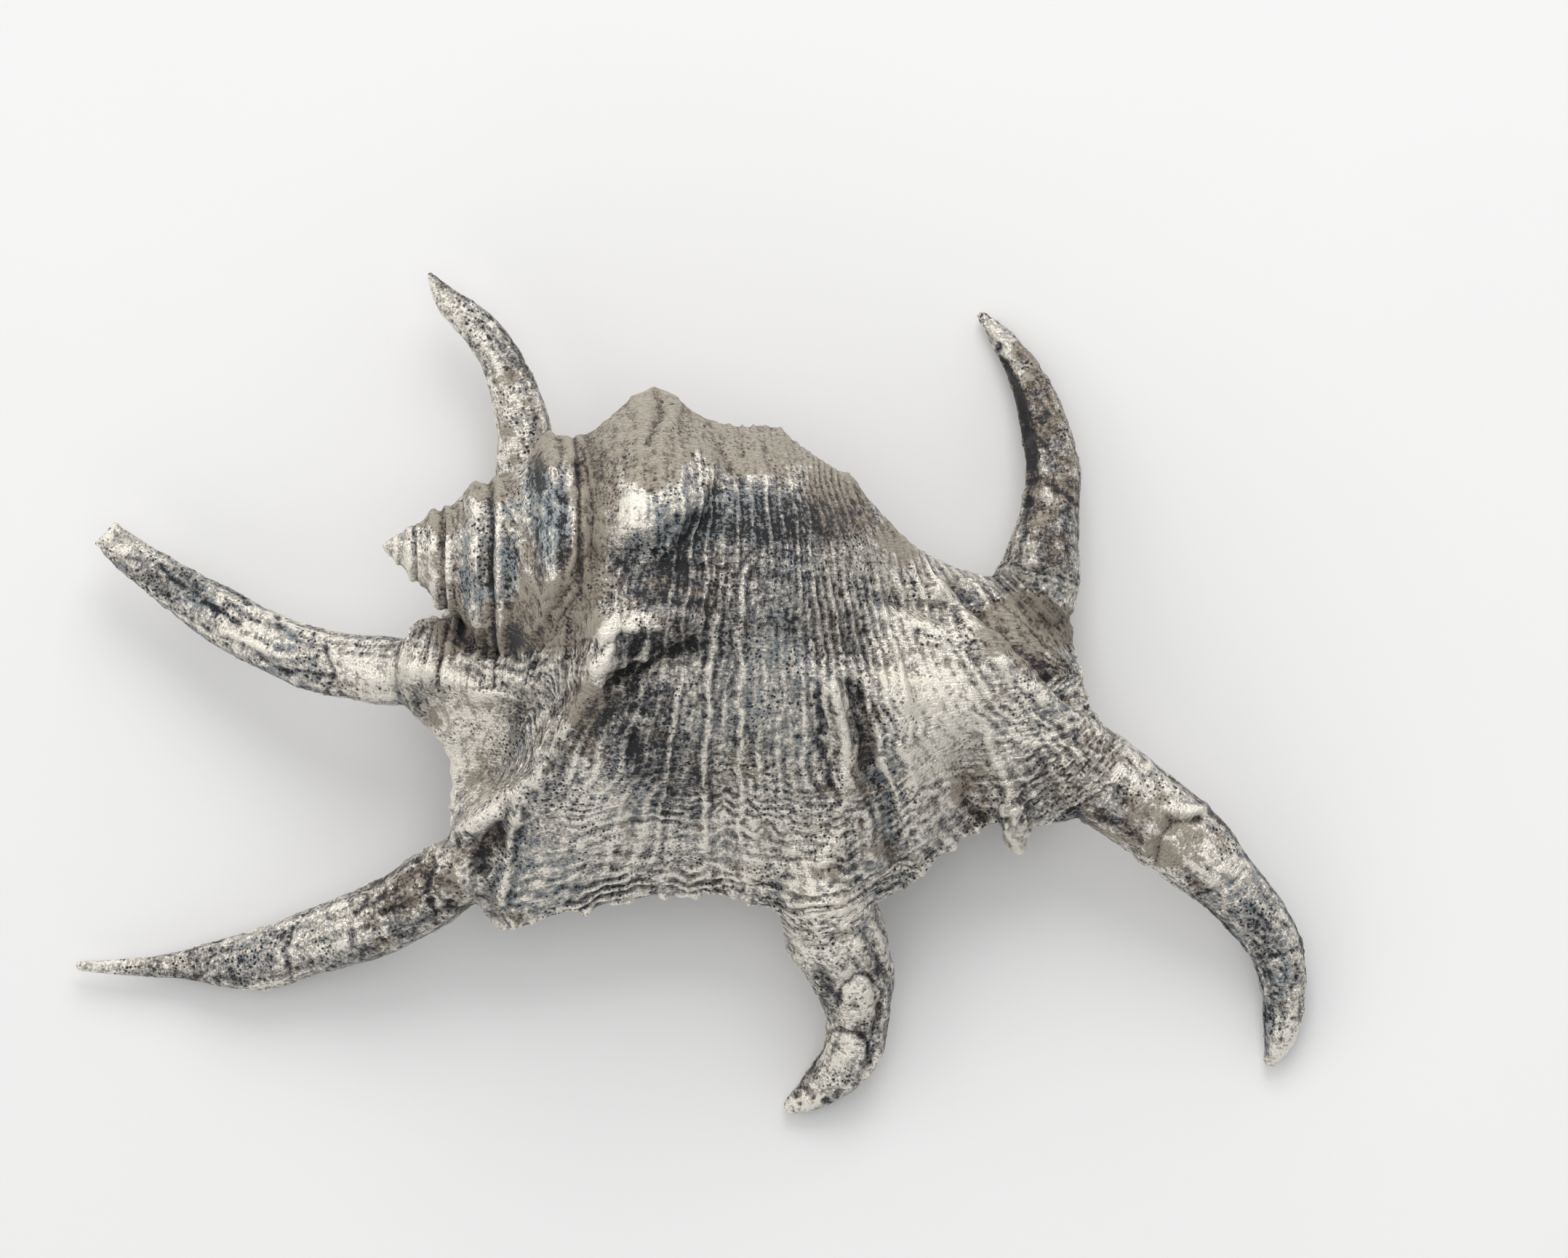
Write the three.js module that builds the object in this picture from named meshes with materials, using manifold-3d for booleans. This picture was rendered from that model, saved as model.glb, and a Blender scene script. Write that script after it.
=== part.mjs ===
// A spider conch with a silver skin, lying with its mouth down.
// Millimetres, +Z up. The spire points to -X, the flared lip faces -Y and the shell rests on Z = 0.
import * as THREE from 'three';
import Module from 'manifold-3d';
import { ParametricGeometry } from 'three/addons/geometries/ParametricGeometry.js';
import { mergeVertices } from 'three/addons/utils/BufferGeometryUtils.js';

const wasm = await Module();
wasm.setup();

// Driving dimensions of the coiled body
const APEX = new THREE.Vector3(-60.3, 28.7, 0);
const AXIS_TURN = THREE.MathUtils.degToRad(-6.56);
const WHORL_GROWTH = 1.765;
const FIRST_SUTURE = 19.6;
const LAST_SUTURE = 34.6;
const CLIMBING_SUTURE = [[-90, 30], [0, 29], [40, 31], [65, 34.5], [90, 39.9]];
const CANAL_END = 122;
const CANAL_ROUNDING = 3;
const APEX_RING = 1.4;
const RING_GROWTH = 1.1;
const SPIRE_RINGS = 31;
const BODY_RINGS = 26;

// Angles round the body, closest together on the back where the knobs are
const BELLY_SIDES = { from: 270, to: 200, count: 6 };
const BACK_SIDES = { from: 200, to: 60, count: 18 };
const MOUTH_SIDES = { from: 60, to: -90, count: 9 };

// Height of the axis above the surface that the shell lies on, by distance from the apex
const AXIS_HEIGHT = [[0, 30.5], [30, 28.4], [60, 28], [80, 26.5], [92, 24], [106, 19], [CANAL_END, 14]];

// Radius of the last whorl by distance from the apex, seen from behind
const BODY_RADIUS = [
  [30, 23.5], [LAST_SUTURE, 24.6], [39, 26.4], [44, 30.4], [48, 32.6], [53, 32.8], [61, 31.2],
  [73, 29.9], [82, 26.8], [90, 22], [96, 17.2], [101, 13], [106, 10.2], [112, 8.4], [CANAL_END, 7.2],
];

// Height of the belly below the axis, as a share of the radius
const BELLY = [[0, 1], [20, 1], [40, 0.96], [52, 0.9], [75, 0.86], [95, 0.95], [CANAL_END, 1]];

// The ramp and the shoulder of each whorl, from one suture to the next, in shares of the first suture's place
const WHORL_PROFILE = [[1, 0.745], [1.2, 0.815], [1.5, 1.235], [WHORL_GROWTH, 1.315]];
const SUTURE_GROOVE = 0.06;
const SUTURE_HALF_WIDTH = 0.07;
const SUTURE_FADES = 62;

// The wall under the lip lies a little lower than the lip's own surface
const UNDER_LIP = 0.06;
const UNDER_LIP_BEGINS = 3;
const LIP_BEGINS = [82, 97];

// The hollow mouth: how far the wall between body and lip draws in
const MOUTH_DRAW = 0.32;
const MOUTH_MIDDLE = 32;
const MOUTH_HALF_WIDTH = 42;
const MOUTH_STARTS = [33, 46];
const MOUTH_ENDS = [62, 88];

// Knobs on the shoulder: distance from the apex, angle, height, length and half angle
const SHOULDER_KNOBS = [
  [49.5, 180, 4.2, 5.8, 16],
  [73.5, 176, 2.2, 4, 12],
  [89, 172, 1.8, 2.5, 12],
  [50, 222, 2.6, 5, 15],
];
const NODULES_PER_TURN = 8;
const NODULE_HEIGHT = 0.035;
const NODULE_MIDDLE = 1.5;
const NODULE_SPREAD = 0.16;

// Thickness of the flared lip from the crest to the margin
const LIP_THICKNESS = [[0, 5], [0.25, 8.5], [0.5, 12], [0.65, 11], [0.82, 7.5], [1, 4.4]];
const LIP_FULLNESS = [[0, 0.55], [0.3, 0.6], [0.42, 1], [0.8, 1], [0.9, 0.75], [1, 0.6]];
const LIP_ROUNDING = 1.3;
const LIP_END_HEIGHTS = [23, 16];
const LIP_END_SHARES = [0.5, 0.4];
const LIP_STATIONS = 53;
const LIP_TOP_STEPS = 19;
const LIP_TOP_BIAS = 1.3;
const LIP_UNDER_STEPS = 6;
const NORMAL_STEP = 0.004;
const EDGE_STEP = 0.03;

// Relief fades towards the margin, and the digits swell up from the outer part of the lip
const MARGIN_FADE = [0.85, 1];
const MARGIN_FADE_SHARE = 0.7;
const SWELL_STARTS = 0.4;
const SWELL_BLEND = 3;
const SWELL_SMALLEST_RADIUS = 2;
const ROOT_POINTS = 4;
const DIGITS_FROM_LIP = [1, 5];

const DIGIT_SIDES = 10;
const DIGIT_FLATNESS = 0.88;
const GROOVE_HALF_ANGLE = 26;
const GROOVE_RUN_IN = 0.15;
const GROOVE_RUN_OUT = 0.9;
const ROOT_ROUNDING = 1;
const TIP_ROUNDING = 0.6;

const WELD_DISTANCE = 1e-4;
const BIG = 600;

// Straight-line interpolation in a list of [place, value] pairs
function lookUp(table, place) {
  if (place <= table[0][0]) return table[0][1];
  for (let i = 1; i < table.length; i += 1) {
    const [before, low] = table[i - 1];
    const [after, high] = table[i];
    if (place <= after) return low + ((high - low) * (place - before)) / (after - before);
  }
  return table[table.length - 1][1];
}

function smoothStep(low, high, value) {
  return THREE.MathUtils.smoothstep(value, low, high);
}

function bell(distance, width) {
  return Math.exp(-((distance / width) ** 2));
}

// Where the nearest point of a stretch lies in plan: its share of the stretch and how far away it is
function nearestOn([ax, ay], [bx, by], x, y) {
  const lengthSquared = (bx - ax) ** 2 + (by - ay) ** 2;
  const along = ((x - ax) * (bx - ax) + (y - ay) * (by - ay)) / lengthSquared;
  const share = THREE.MathUtils.clamp(along, 0, 1);
  return { share, away: Math.hypot(x - ax - share * (bx - ax), y - ay - share * (by - ay)) };
}

// Distance in plan from a point to a polyline
function planDistance(line, x, y) {
  const distances = line.slice(1).map((end, i) => nearestOn(line[i], end, x, y).away);
  return Math.min(...distances);
}

// Relief on the back of the shell: height, half width and the line that it follows in plan
const RELIEF = [
  { height: 5, width: 5, line: [[-5.5, 50], [-3.5, 45], [-3.5, 39], [-8, 34]] },
  { height: -2, width: 4, line: [[-10.5, 26], [-4, 26], [3, 33]] },
  { height: 4.5, width: 3.4, line: [[-15, 11.5], [-9, 13.5], [-2, 15.5]] },
  { height: -3, width: 3.6, line: [[-11, 6.5], [-6, 9], [-1, 11]] },
  { height: 4.4, width: 3.8, line: [[-15, 8], [-18, 2], [-25, -8], [-28.5, -15], [-34, -20.5], [-44, -27]] },
  { height: -3, width: 5, line: [[-30.5, -2], [-32.5, -9], [-38, -15]] },
  { height: 2.4, width: 4, line: [[-58, 4], [-48, 3.5], [-40, 0.5], [-31, 1]] },
  { height: 2.2, width: 3, line: [[27, 2], [29, -6], [31, -18], [33, -30]] },
  { height: -2.2, width: 2.6, line: [[31.5, 1], [33, -10], [37, -20], [38, -32]] },
  { height: 2, width: 3, line: [[38, 8], [40.5, -6], [43, -20], [45, -33]] },
  { height: 2.6, width: 3.6, line: [[47, 20], [54.5, 12], [61, 6], [76, -6]] },
  { height: -2, width: 3, line: [[53, 19], [61, 10.5], [69, 3.5]] },
  { height: -2.6, width: 4, line: [[54, -12], [56, -22]] },
  { height: -2, width: 5, line: [[-2, -22], [-4, -38]] },
  { height: -1.2, width: 4, line: [[4, 30], [2, 22]] },
];

// On the coiled body the relief sets in between these distances from the apex
const RELIEF_ON_BODY = [36, 44];

function relief(x, y) {
  return RELIEF.reduce((sum, { height, width, line }) => (
    sum + height * bell(planDistance(line, x, y), width)), 0);
}

// Share of the way from one suture of the spire to the next
function whorlShare(along, angle) {
  const turns = Math.log(along / FIRST_SUTURE) / Math.log(WHORL_GROWTH) - (180 - angle) / 360;
  return turns - Math.floor(turns);
}

// A whorl of the spire: a flat band on each side of the suture and a steep ramp between
function spireRadius(along, angle) {
  const step = WHORL_GROWTH ** whorlShare(along, angle);
  const suture = along / step;
  const toSuture = Math.min(step - 1, WHORL_GROWTH - step);
  const groove = SUTURE_GROOVE * bell(toSuture, SUTURE_HALF_WIDTH);
  const wave = Math.cos(THREE.MathUtils.degToRad(angle * NODULES_PER_TURN));
  const nodule = NODULE_HEIGHT * bell(step - NODULE_MIDDLE, NODULE_SPREAD) * wave;
  return suture * (lookUp(WHORL_PROFILE, step) - groove + nodule);
}

function shoulderKnobs(along, angle) {
  return SHOULDER_KNOBS.reduce((sum, [place, turn, height, length, spread]) => (
    sum + height * bell(along - place, length) * bell(angle - turn, spread)), 0);
}

// Place of the last suture, which winds on over the back and then climbs the spire again under the lip
function lastSuture(angle) {
  if (angle >= 90) return LAST_SUTURE * WHORL_GROWTH ** ((180 - angle) / 360);
  return lookUp(CLIMBING_SUTURE, angle);
}

// Outer radius of the coiled body. Angle 0 faces the lip, 90 up, 180 the back, 270 down.
function bodyRadius(along, angle) {
  const suture = lastSuture(angle);
  if (along < suture) return spireRadius(along, angle);
  const shift = (suture - LAST_SUTURE) * (1 - smoothStep(suture, SUTURE_FADES, along));
  return lookUp(BODY_RADIUS, along - shift) + shoulderKnobs(along, angle);
}

function mouthDraw(along, angle) {
  const suture = lastSuture(angle);
  const opens = smoothStep(...MOUTH_STARTS, along);
  const pastSuture = smoothStep(suture, suture + UNDER_LIP_BEGINS, along);
  const lipCovers = pastSuture * (1 - smoothStep(...LIP_BEGINS, angle));
  const hollow = bell(angle - MOUTH_MIDDLE, MOUTH_HALF_WIDTH) * (1 - smoothStep(...MOUTH_ENDS, angle));
  return 1 - UNDER_LIP * lipCovers - MOUTH_DRAW * opens * hollow;
}

function bodyPoint(along, angle, lift = 0, wholeMouth = true) {
  const turn = THREE.MathUtils.degToRad(angle);
  const draw = wholeMouth ? 1 : mouthDraw(along, angle);
  const radius = bodyRadius(along, angle) * draw + lift;
  const up = Math.sin(turn) * (angle > 180 || angle < 0 ? lookUp(BELLY, along) : 1);
  const back = -Math.cos(turn) * radius;
  return new THREE.Vector3(
    APEX.x + along * Math.cos(AXIS_TURN) - back * Math.sin(AXIS_TURN),
    APEX.y + along * Math.sin(AXIS_TURN) + back * Math.cos(AXIS_TURN),
    lookUp(AXIS_HEIGHT, along) + up * radius,
  );
}

function ringPlace(ring) {
  const spireEnd = APEX_RING * RING_GROWTH ** SPIRE_RINGS;
  if (ring <= SPIRE_RINGS) return APEX_RING * RING_GROWTH ** ring;
  return spireEnd + ((CANAL_END - spireEnd) * (ring - SPIRE_RINGS)) / BODY_RINGS;
}

function sideAngles() {
  return [BELLY_SIDES, BACK_SIDES, MOUTH_SIDES].flatMap(({ from, to, count }) => (
    Array.from({ length: count }, (_, i) => from + ((to - from) * i) / count)));
}

function coiledBody() {
  const rings = SPIRE_RINGS + BODY_RINGS + 2;
  const angles = sideAngles();
  return new ParametricGeometry((around, lengthwise, target) => {
    const ring = Math.round(lengthwise * rings);
    if (ring === 0 || ring === rings) {
      const along = ring === 0 ? 0 : CANAL_END + CANAL_ROUNDING;
      target.set(
        APEX.x + along * Math.cos(AXIS_TURN),
        APEX.y + along * Math.sin(AXIS_TURN),
        lookUp(AXIS_HEIGHT, along),
      );
      return;
    }
    const angle = angles[Math.round(around * angles.length) % angles.length];
    const along = ringPlace(ring - 1);
    const point = bodyPoint(along, angle, 0, false);
    const raised = Math.max(0, Math.sin(THREE.MathUtils.degToRad(angle)));
    point.z += relief(point.x, point.y) * raised * smoothStep(...RELIEF_ON_BODY, along);
    target.copy(point);
  }, angles.length, rings);
}

// Ribs of the flared lip, from the crest or the last suture out to the margin
const at = (x, y, z) => new THREE.Vector3(x, y, z);
const crest = (along) => [bodyPoint(along, 110, -1.3), bodyPoint(along + 4, 90, 0.3)];
const LIP_RIBS = [
  [at(-44, 18, 20), at(-46, 16, 22), at(-48, 14.5, 24),
    at(-49.5, 13.5, 25), at(-51, 12.5, 25), at(-52.5, 11.5, 23.5)],
  [at(-44, 15, 22), at(-46.5, 13.5, 27), at(-49.5, 12, 28.5),
    at(-52.5, 11, 28), at(-56, 10, 26), at(-59, 9, 23)],
  [at(-43, 13, 25), at(-46, 10, 30.5), at(-49, 7.5, 31.5),
    at(-52, 5, 29.5), at(-56, 3.5, 26), at(-59, 2.5, 22.5)],
  [at(-40, 12, 28), at(-42.5, 7, 32.5), at(-45, 3, 31.5),
    at(-48, -1, 28.5), at(-51, -3, 25.5), at(-53, -5, 22.5)],
  [at(-36, 12, 31), at(-37.5, 5.5, 35.5), at(-39, 0, 33),
    at(-42, -5, 29.5), at(-44, -9, 26), at(-47, -12, 22)],
  [at(-33, 13, 36), at(-33, 5, 40), at(-33, -2, 37), at(-36, -8, 32.5), at(-40, -14, 27), at(-46, -18, 21)],
  [at(-29, 15, 41), at(-28, 5, 45.5), at(-28, -2, 42),
    at(-31, -12, 35.5), at(-38, -19, 28), at(-47, -25, 21)],
  [bodyPoint(31, 66, -1.5), bodyPoint(37, 56, 1), at(-21.5, -1, 48.5),
    at(-26, -13, 40.5), at(-36, -23, 31), at(-48, -32, 21.5)],
  [bodyPoint(34.5, 80, -1.5), bodyPoint(41, 64, 1), at(-16, 2, 54),
    at(-21, -12, 45.5), at(-32, -25, 33), at(-44, -37, 20.5)],
  [bodyPoint(37.5, 92, -1.5), bodyPoint(44, 76, 0.8), at(-11, 5, 56.5),
    at(-15, -10, 49.5), at(-25, -27, 34), at(-37, -46, 18)],
  [bodyPoint(41, 102, -1.5), bodyPoint(48, 88, 0.4), bodyPoint(55, 71, 0.5),
    at(-8, -7, 51.5), at(-15, -24, 37), at(-24, -43, 19.5)],
  [...crest(48), bodyPoint(60, 71, 0.5), at(0, -3, 52.5), at(-4, -20, 39), at(-10, -40, 21)],
  [...crest(58), bodyPoint(68, 71, 0.6), at(9, -2, 51), at(8, -18, 39.5), at(5, -39.5, 20.5)],
  [...crest(68), bodyPoint(76, 70, 0.7), at(19, -3, 48), at(20, -19, 38.5), at(18, -42, 22)],
  [...crest(77), bodyPoint(84, 68, 1), at(30, -2, 45.5), at(31, -17, 38), at(32, -42, 23)],
  [...crest(84), bodyPoint(91, 64, 1.5), at(40, -1, 41), at(42, -16, 33.5), at(45, -35, 20)],
  [...crest(89), bodyPoint(97, 58, 3), at(48, 0, 37.5), at(52, -12, 31), at(55.5, -26.5, 20.5)],
  [...crest(94), at(50, 10, 36), at(57, 0, 34), at(62, -11, 28), at(67.5, -25.5, 19.5)],
  [...crest(98), at(56, 10, 32.5), at(64, 1, 31), at(71, -8, 26.5), at(77, -22, 19.5)],
  [...crest(102), at(61, 11, 28), at(66, 6, 26), at(72, 0, 22.5), at(78, -5, 18)],
  [...crest(106), at(62, 14.5, 23), at(67, 11.5, 21), at(72, 7.5, 18), at(75.3, 5.5, 14.5)],
  [...crest(110), at(65, 18, 19.5), at(69, 17, 17.5), at(73, 15.5, 15), at(74.6, 13.5, 12.5)],
];

const ribCurves = LIP_RIBS.map((points) => new THREE.CatmullRomCurve3(points, false, 'centripetal'));
const acrossCurves = new Map();

// A curve that crosses all ribs at one share of their length
function acrossAt(outward) {
  const key = outward.toFixed(4);
  if (!acrossCurves.has(key)) {
    const points = ribCurves.map((curve) => curve.getPoint(outward));
    acrossCurves.set(key, new THREE.CatmullRomCurve3(points, false, 'centripetal'));
  }
  return acrossCurves.get(key);
}

function lipSurface(across, outward) {
  return acrossAt(outward).getPoint(across);
}

function lipNormal(across, outward) {
  const small = NORMAL_STEP;
  const nextAcross = THREE.MathUtils.clamp(across + small, 2 * small, 1);
  const nextOut = THREE.MathUtils.clamp(outward + small, 2 * small, 1);
  const alongMargin = lipSurface(nextAcross, outward).sub(lipSurface(nextAcross - 2 * small, outward));
  const outwards = lipSurface(across, nextOut).sub(lipSurface(across, nextOut - 2 * small));
  return outwards.cross(alongMargin).normalize();
}

// Height of the crown of a digit's root, falling away to both sides of its line
function rootCrown({ path, radii }, x, y) {
  const crowns = path.slice(1, ROOT_POINTS).map((end, i) => {
    const { share, away } = nearestOn(path[i], end, x, y);
    const radius = THREE.MathUtils.lerp(radii[i], radii[i + 1], share);
    const crown = THREE.MathUtils.lerp(path[i][2], end[2], share) + DIGIT_FLATNESS * radius;
    return crown - (DIGIT_FLATNESS * away ** 2) / Math.max(radius, SWELL_SMALLEST_RADIUS);
  });
  return Math.max(...crowns);
}

// The lip swells up into the root of each digit, with a soft crease
function digitSwell(x, y, z) {
  return DIGITS.slice(...DIGITS_FROM_LIP).reduce((height, digit) => {
    const crown = rootCrown(digit, x, y);
    const gap = Math.max(SWELL_BLEND - Math.abs(height - crown), 0);
    return Math.max(height, crown) + gap ** 2 / (4 * SWELL_BLEND);
  }, z);
}

function lipTop(across, outward) {
  const point = lipSurface(across, outward);
  point.z += relief(point.x, point.y) * (1 - MARGIN_FADE_SHARE * smoothStep(...MARGIN_FADE, outward));
  if (outward > SWELL_STARTS) point.z = digitSwell(point.x, point.y, point.z);
  return point;
}

function lipUnder(across, outward) {
  const thickness = lookUp(LIP_THICKNESS, outward) * lookUp(LIP_FULLNESS, across);
  return lipSurface(across, outward).addScaledVector(lipNormal(across, outward), -thickness);
}

function lipEdge(across) {
  const middle = lipTop(across, 1).lerp(lipUnder(across, 1), 0.5);
  const outwards = lipSurface(across, 1).sub(lipSurface(across, 1 - EDGE_STEP)).setZ(0).normalize();
  return middle.addScaledVector(outwards, LIP_ROUNDING);
}

// The lip is a closed loop of top, edge and underside, carried from one end of the margin to the other
function flaredLip() {
  const steps = LIP_TOP_STEPS + LIP_UNDER_STEPS + 3;
  const ends = [0, 1].map((end) => lipSurface(end, LIP_END_SHARES[end]).setZ(LIP_END_HEIGHTS[end]));
  return new ParametricGeometry((loop, across, target) => {
    const row = Math.round(across * (LIP_STATIONS + 2));
    if (row === 0 || row === LIP_STATIONS + 2) {
      target.copy(ends[Math.min(row, 1)]);
      return;
    }
    const station = (row - 1) / LIP_STATIONS;
    const step = Math.round(loop * steps) % steps;
    if (step <= LIP_TOP_STEPS) target.copy(lipTop(station, (step / LIP_TOP_STEPS) ** LIP_TOP_BIAS));
    else if (step === LIP_TOP_STEPS + 1) target.copy(lipEdge(station));
    else target.copy(lipUnder(station, 1 - (step - LIP_TOP_STEPS - 2) / LIP_UNDER_STEPS));
  }, steps, LIP_STATIONS + 2);
}

// Digits from root to tip: points, radii, and a groove where the fold of the digit stays open
const DIGITS = [
  {
    path: [[-47, 4, 17], [-40, 20, 11], [-33.5, 35, 10], [-32.5, 47, 12], [-35, 59, 13],
      [-38.5, 67, 12], [-43, 72.5, 11],
      [-48, 77, 11], [-51.5, 82, 12]],
    radii: [6, 6.6, 6.4, 5.9, 4.8, 4.1, 3.6, 2.4, 0.7],
    rings: 15,
  },
  {
    path: [[-43, 2, 27], [-55, 4, 21.5], [-70, 5.8, 17], [-81, 9.2, 14], [-92, 15, 12],
      [-102, 21.5, 11], [-109.5, 26.5, 11],
      [-115, 31.5, 11.5]],
    radii: [3, 6.8, 6.4, 5.8, 5.5, 4.5, 3.7, 2.7],
    rings: 17,
    brokenTip: 3.5,
  },
  {
    path: [[-31, -25, 27], [-44, -33.5, 19.5], [-55.5, -41.5, 14.5], [-63, -45, 12],
      [-76, -49.5, 8], [-85, -52.5, 6],
      [-93, -53, 5.5], [-100.5, -53.5, 4.6], [-111, -54, 4.2], [-121, -53.7, 4]],
    radii: [2.5, 7.4, 7.2, 7.4, 6.4, 6.3, 4.6, 2.6, 1.8, 0.9],
    rings: 20,
  },
  {
    path: [[23.5, -26, 30], [24.5, -36, 24], [28, -46.5, 16.5], [31.4, -55.5, 12], [32.4, -62.5, 9.5],
      [32, -69.2, 7], [28.3, -74.8, 5], [23.5, -79, 3.2], [18.5, -81.8, 2.4]],
    radii: [2.5, 8.6, 9.8, 8.2, 6.5, 6.3, 5, 3.6, 1.4],
    rings: 16,
    groove: { side: 200, depth: 0.25, from: 0.5 },
  },
  {
    path: [[61, -2, 26.5], [74, -12.5, 20.5], [90.5, -24.3, 15], [98.7, -31.2, 13],
      [105, -37.8, 11], [110.8, -44.6, 8.5], [115, -51.5, 6.5],
      [116.5, -58.5, 5], [116.3, -64.5, 4], [115.2, -69.5, 3], [113.2, -73, 2.2]],
    radii: [2.5, 8.8, 8.6, 7.8, 6.2, 5.8, 5.2, 4.7, 4, 3.1, 1.3],
    rings: 20,
    groove: { side: 190, depth: 0.35, from: 0.6 },
  },
  {
    path: [[59, 11, 14.5], [67, 20, 13.5], [69, 30, 12], [70, 37, 10.5], [70.2, 43.5, 9],
      [69.4, 49.5, 7.5], [67.8, 56, 6],
      [65.4, 62, 4.5], [62.4, 67, 3.4], [59.8, 70.6, 2.6], [56.6, 74.6, 2]],
    radii: [8, 8.8, 6.7, 5.8, 5.5, 5, 4.4, 3.7, 2.9, 2.3, 0.9],
    rings: 20,
    groove: { side: 150, depth: 0.3, from: 0.15 },
  },
];

// The small tooth beside the notch of the lip, and the rough knob where the lip meets the spire
const TOOTH = {
  path: [[60.5, -15, 23.5], [62.5, -23, 18.5], [63.5, -30, 13.5]],
  radii: [1.5, 4, 1.2],
  rings: 5,
};
const LIP_KNOB = {
  path: [[-49, 13, 23], [-52.5, 11.8, 25], [-54.3, 11.6, 26]],
  radii: [2.4, 2.2, 1.2],
  rings: 4,
};

function grooveDraw(groove, side, along) {
  if (!groove) return 1;
  const turn = THREE.MathUtils.euclideanModulo(side - groove.side + 180, 360) - 180;
  const runIn = smoothStep(groove.from, groove.from + GROOVE_RUN_IN, along);
  const runOut = 1 - smoothStep(GROOVE_RUN_OUT, 1, along);
  return 1 - groove.depth * bell(turn, GROOVE_HALF_ANGLE) * runIn * runOut;
}

function taperedDigit({ path, radii, rings, groove, brokenTip = 0 }) {
  const curve = new THREE.CatmullRomCurve3(path.map((point) => at(...point)), false, 'centripetal');
  const taper = radii.map((radius, i) => [i / (radii.length - 1), radius]);
  const vertical = at(0, 0, 1);
  return new ParametricGeometry((around, lengthwise, target) => {
    const ring = Math.round(lengthwise * (rings + 2));
    if (ring === 0 || ring === rings + 2) {
      const end = ring === 0 ? 0 : 1;
      const tangent = curve.getTangent(end);
      const reach = end === 1 ? TIP_ROUNDING - brokenTip : -ROOT_ROUNDING;
      target.copy(curve.getPoint(end)).addScaledVector(tangent, reach);
      return;
    }
    const along = (ring - 1) / rings;
    const tangent = curve.getTangent(along);
    const sideways = tangent.clone().cross(vertical).normalize();
    const upwards = sideways.clone().cross(tangent);
    const side = (Math.round(around * DIGIT_SIDES) % DIGIT_SIDES) * (360 / DIGIT_SIDES);
    const turn = THREE.MathUtils.degToRad(side);
    const radius = lookUp(taper, along) * grooveDraw(groove, side, along);
    target.copy(curve.getPoint(along));
    target.addScaledVector(sideways, Math.cos(turn) * radius);
    target.addScaledVector(upwards, Math.sin(turn) * radius * DIGIT_FLATNESS);
  }, DIGIT_SIDES, rings + 2);
}

// A closed solid from a geometry, with triangles of no size dropped and faces turned outwards
function solidFrom(geometry) {
  const bare = geometry.index ? geometry : geometry.toNonIndexed();
  bare.deleteAttribute('normal');
  bare.deleteAttribute('uv');
  const merged = mergeVertices(bare, WELD_DISTANCE);
  const kept = [];
  const index = merged.index.array;
  for (let i = 0; i < index.length; i += 3) {
    const [a, b, c] = [index[i], index[i + 1], index[i + 2]];
    if (a !== b && b !== c && c !== a) kept.push(a, b, c);
  }
  const make = (triangles) => new wasm.Manifold(new wasm.Mesh({
    numProp: 3,
    vertProperties: new Float32Array(merged.attributes.position.array),
    triVerts: new Uint32Array(triangles),
  }));
  const solid = make(kept);
  if (solid.volume() > 0) return solid;
  const turned = [];
  for (let i = 0; i < kept.length; i += 3) turned.push(kept[i], kept[i + 2], kept[i + 1]);
  return make(turned);
}

// Everything below the resting surface is worn flat
function belowRest() {
  const slab = new THREE.BoxGeometry(BIG, BIG, BIG);
  slab.translate(0, 0, -BIG / 2);
  return solidFrom(slab);
}

function geometryFrom(solid) {
  const mesh = solid.getMesh();
  const geometry = new THREE.BufferGeometry();
  const positions = new Float32Array(mesh.numVert * 3);
  for (let i = 0; i < mesh.numVert; i += 1) {
    for (let j = 0; j < 3; j += 1) positions[i * 3 + j] = mesh.vertProperties[i * mesh.numProp + j];
  }
  geometry.setAttribute('position', new THREE.BufferAttribute(positions, 3));
  geometry.setIndex(new THREE.BufferAttribute(new Uint32Array(mesh.triVerts), 1));
  return geometry;
}

function shellSolid() {
  const pieces = [flaredLip(), ...[...DIGITS, TOOTH, LIP_KNOB].map(taperedDigit)];
  const whole = pieces.reduce((sum, piece) => sum.add(solidFrom(piece)), solidFrom(coiledBody()));
  return whole.subtract(belowRest());
}

const silver = new THREE.MeshStandardMaterial({ color: 0xc9c3b6, roughness: 0.35, metalness: 1 });
const geometry = geometryFrom(shellSolid());
geometry.computeBoundingBox();
const middle = geometry.boundingBox.getCenter(new THREE.Vector3());
geometry.translate(-middle.x, -middle.y, 0);
geometry.computeVertexNormals();

const shell = new THREE.Mesh(geometry, silver);
shell.name = 'silver_clad_shell';

const object = new THREE.Group();
object.add(shell);
export default object;
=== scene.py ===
# A spider conch shell clad in dark-stained silver, lying mouth down on a pale table.
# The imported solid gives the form. Here it is remeshed finely, its facets are smoothed away, and the
# cords, growth wrinkles, pits, rings and ragged margin are carved into it. Carving works in millimetres.
import itertools
import math

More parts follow.
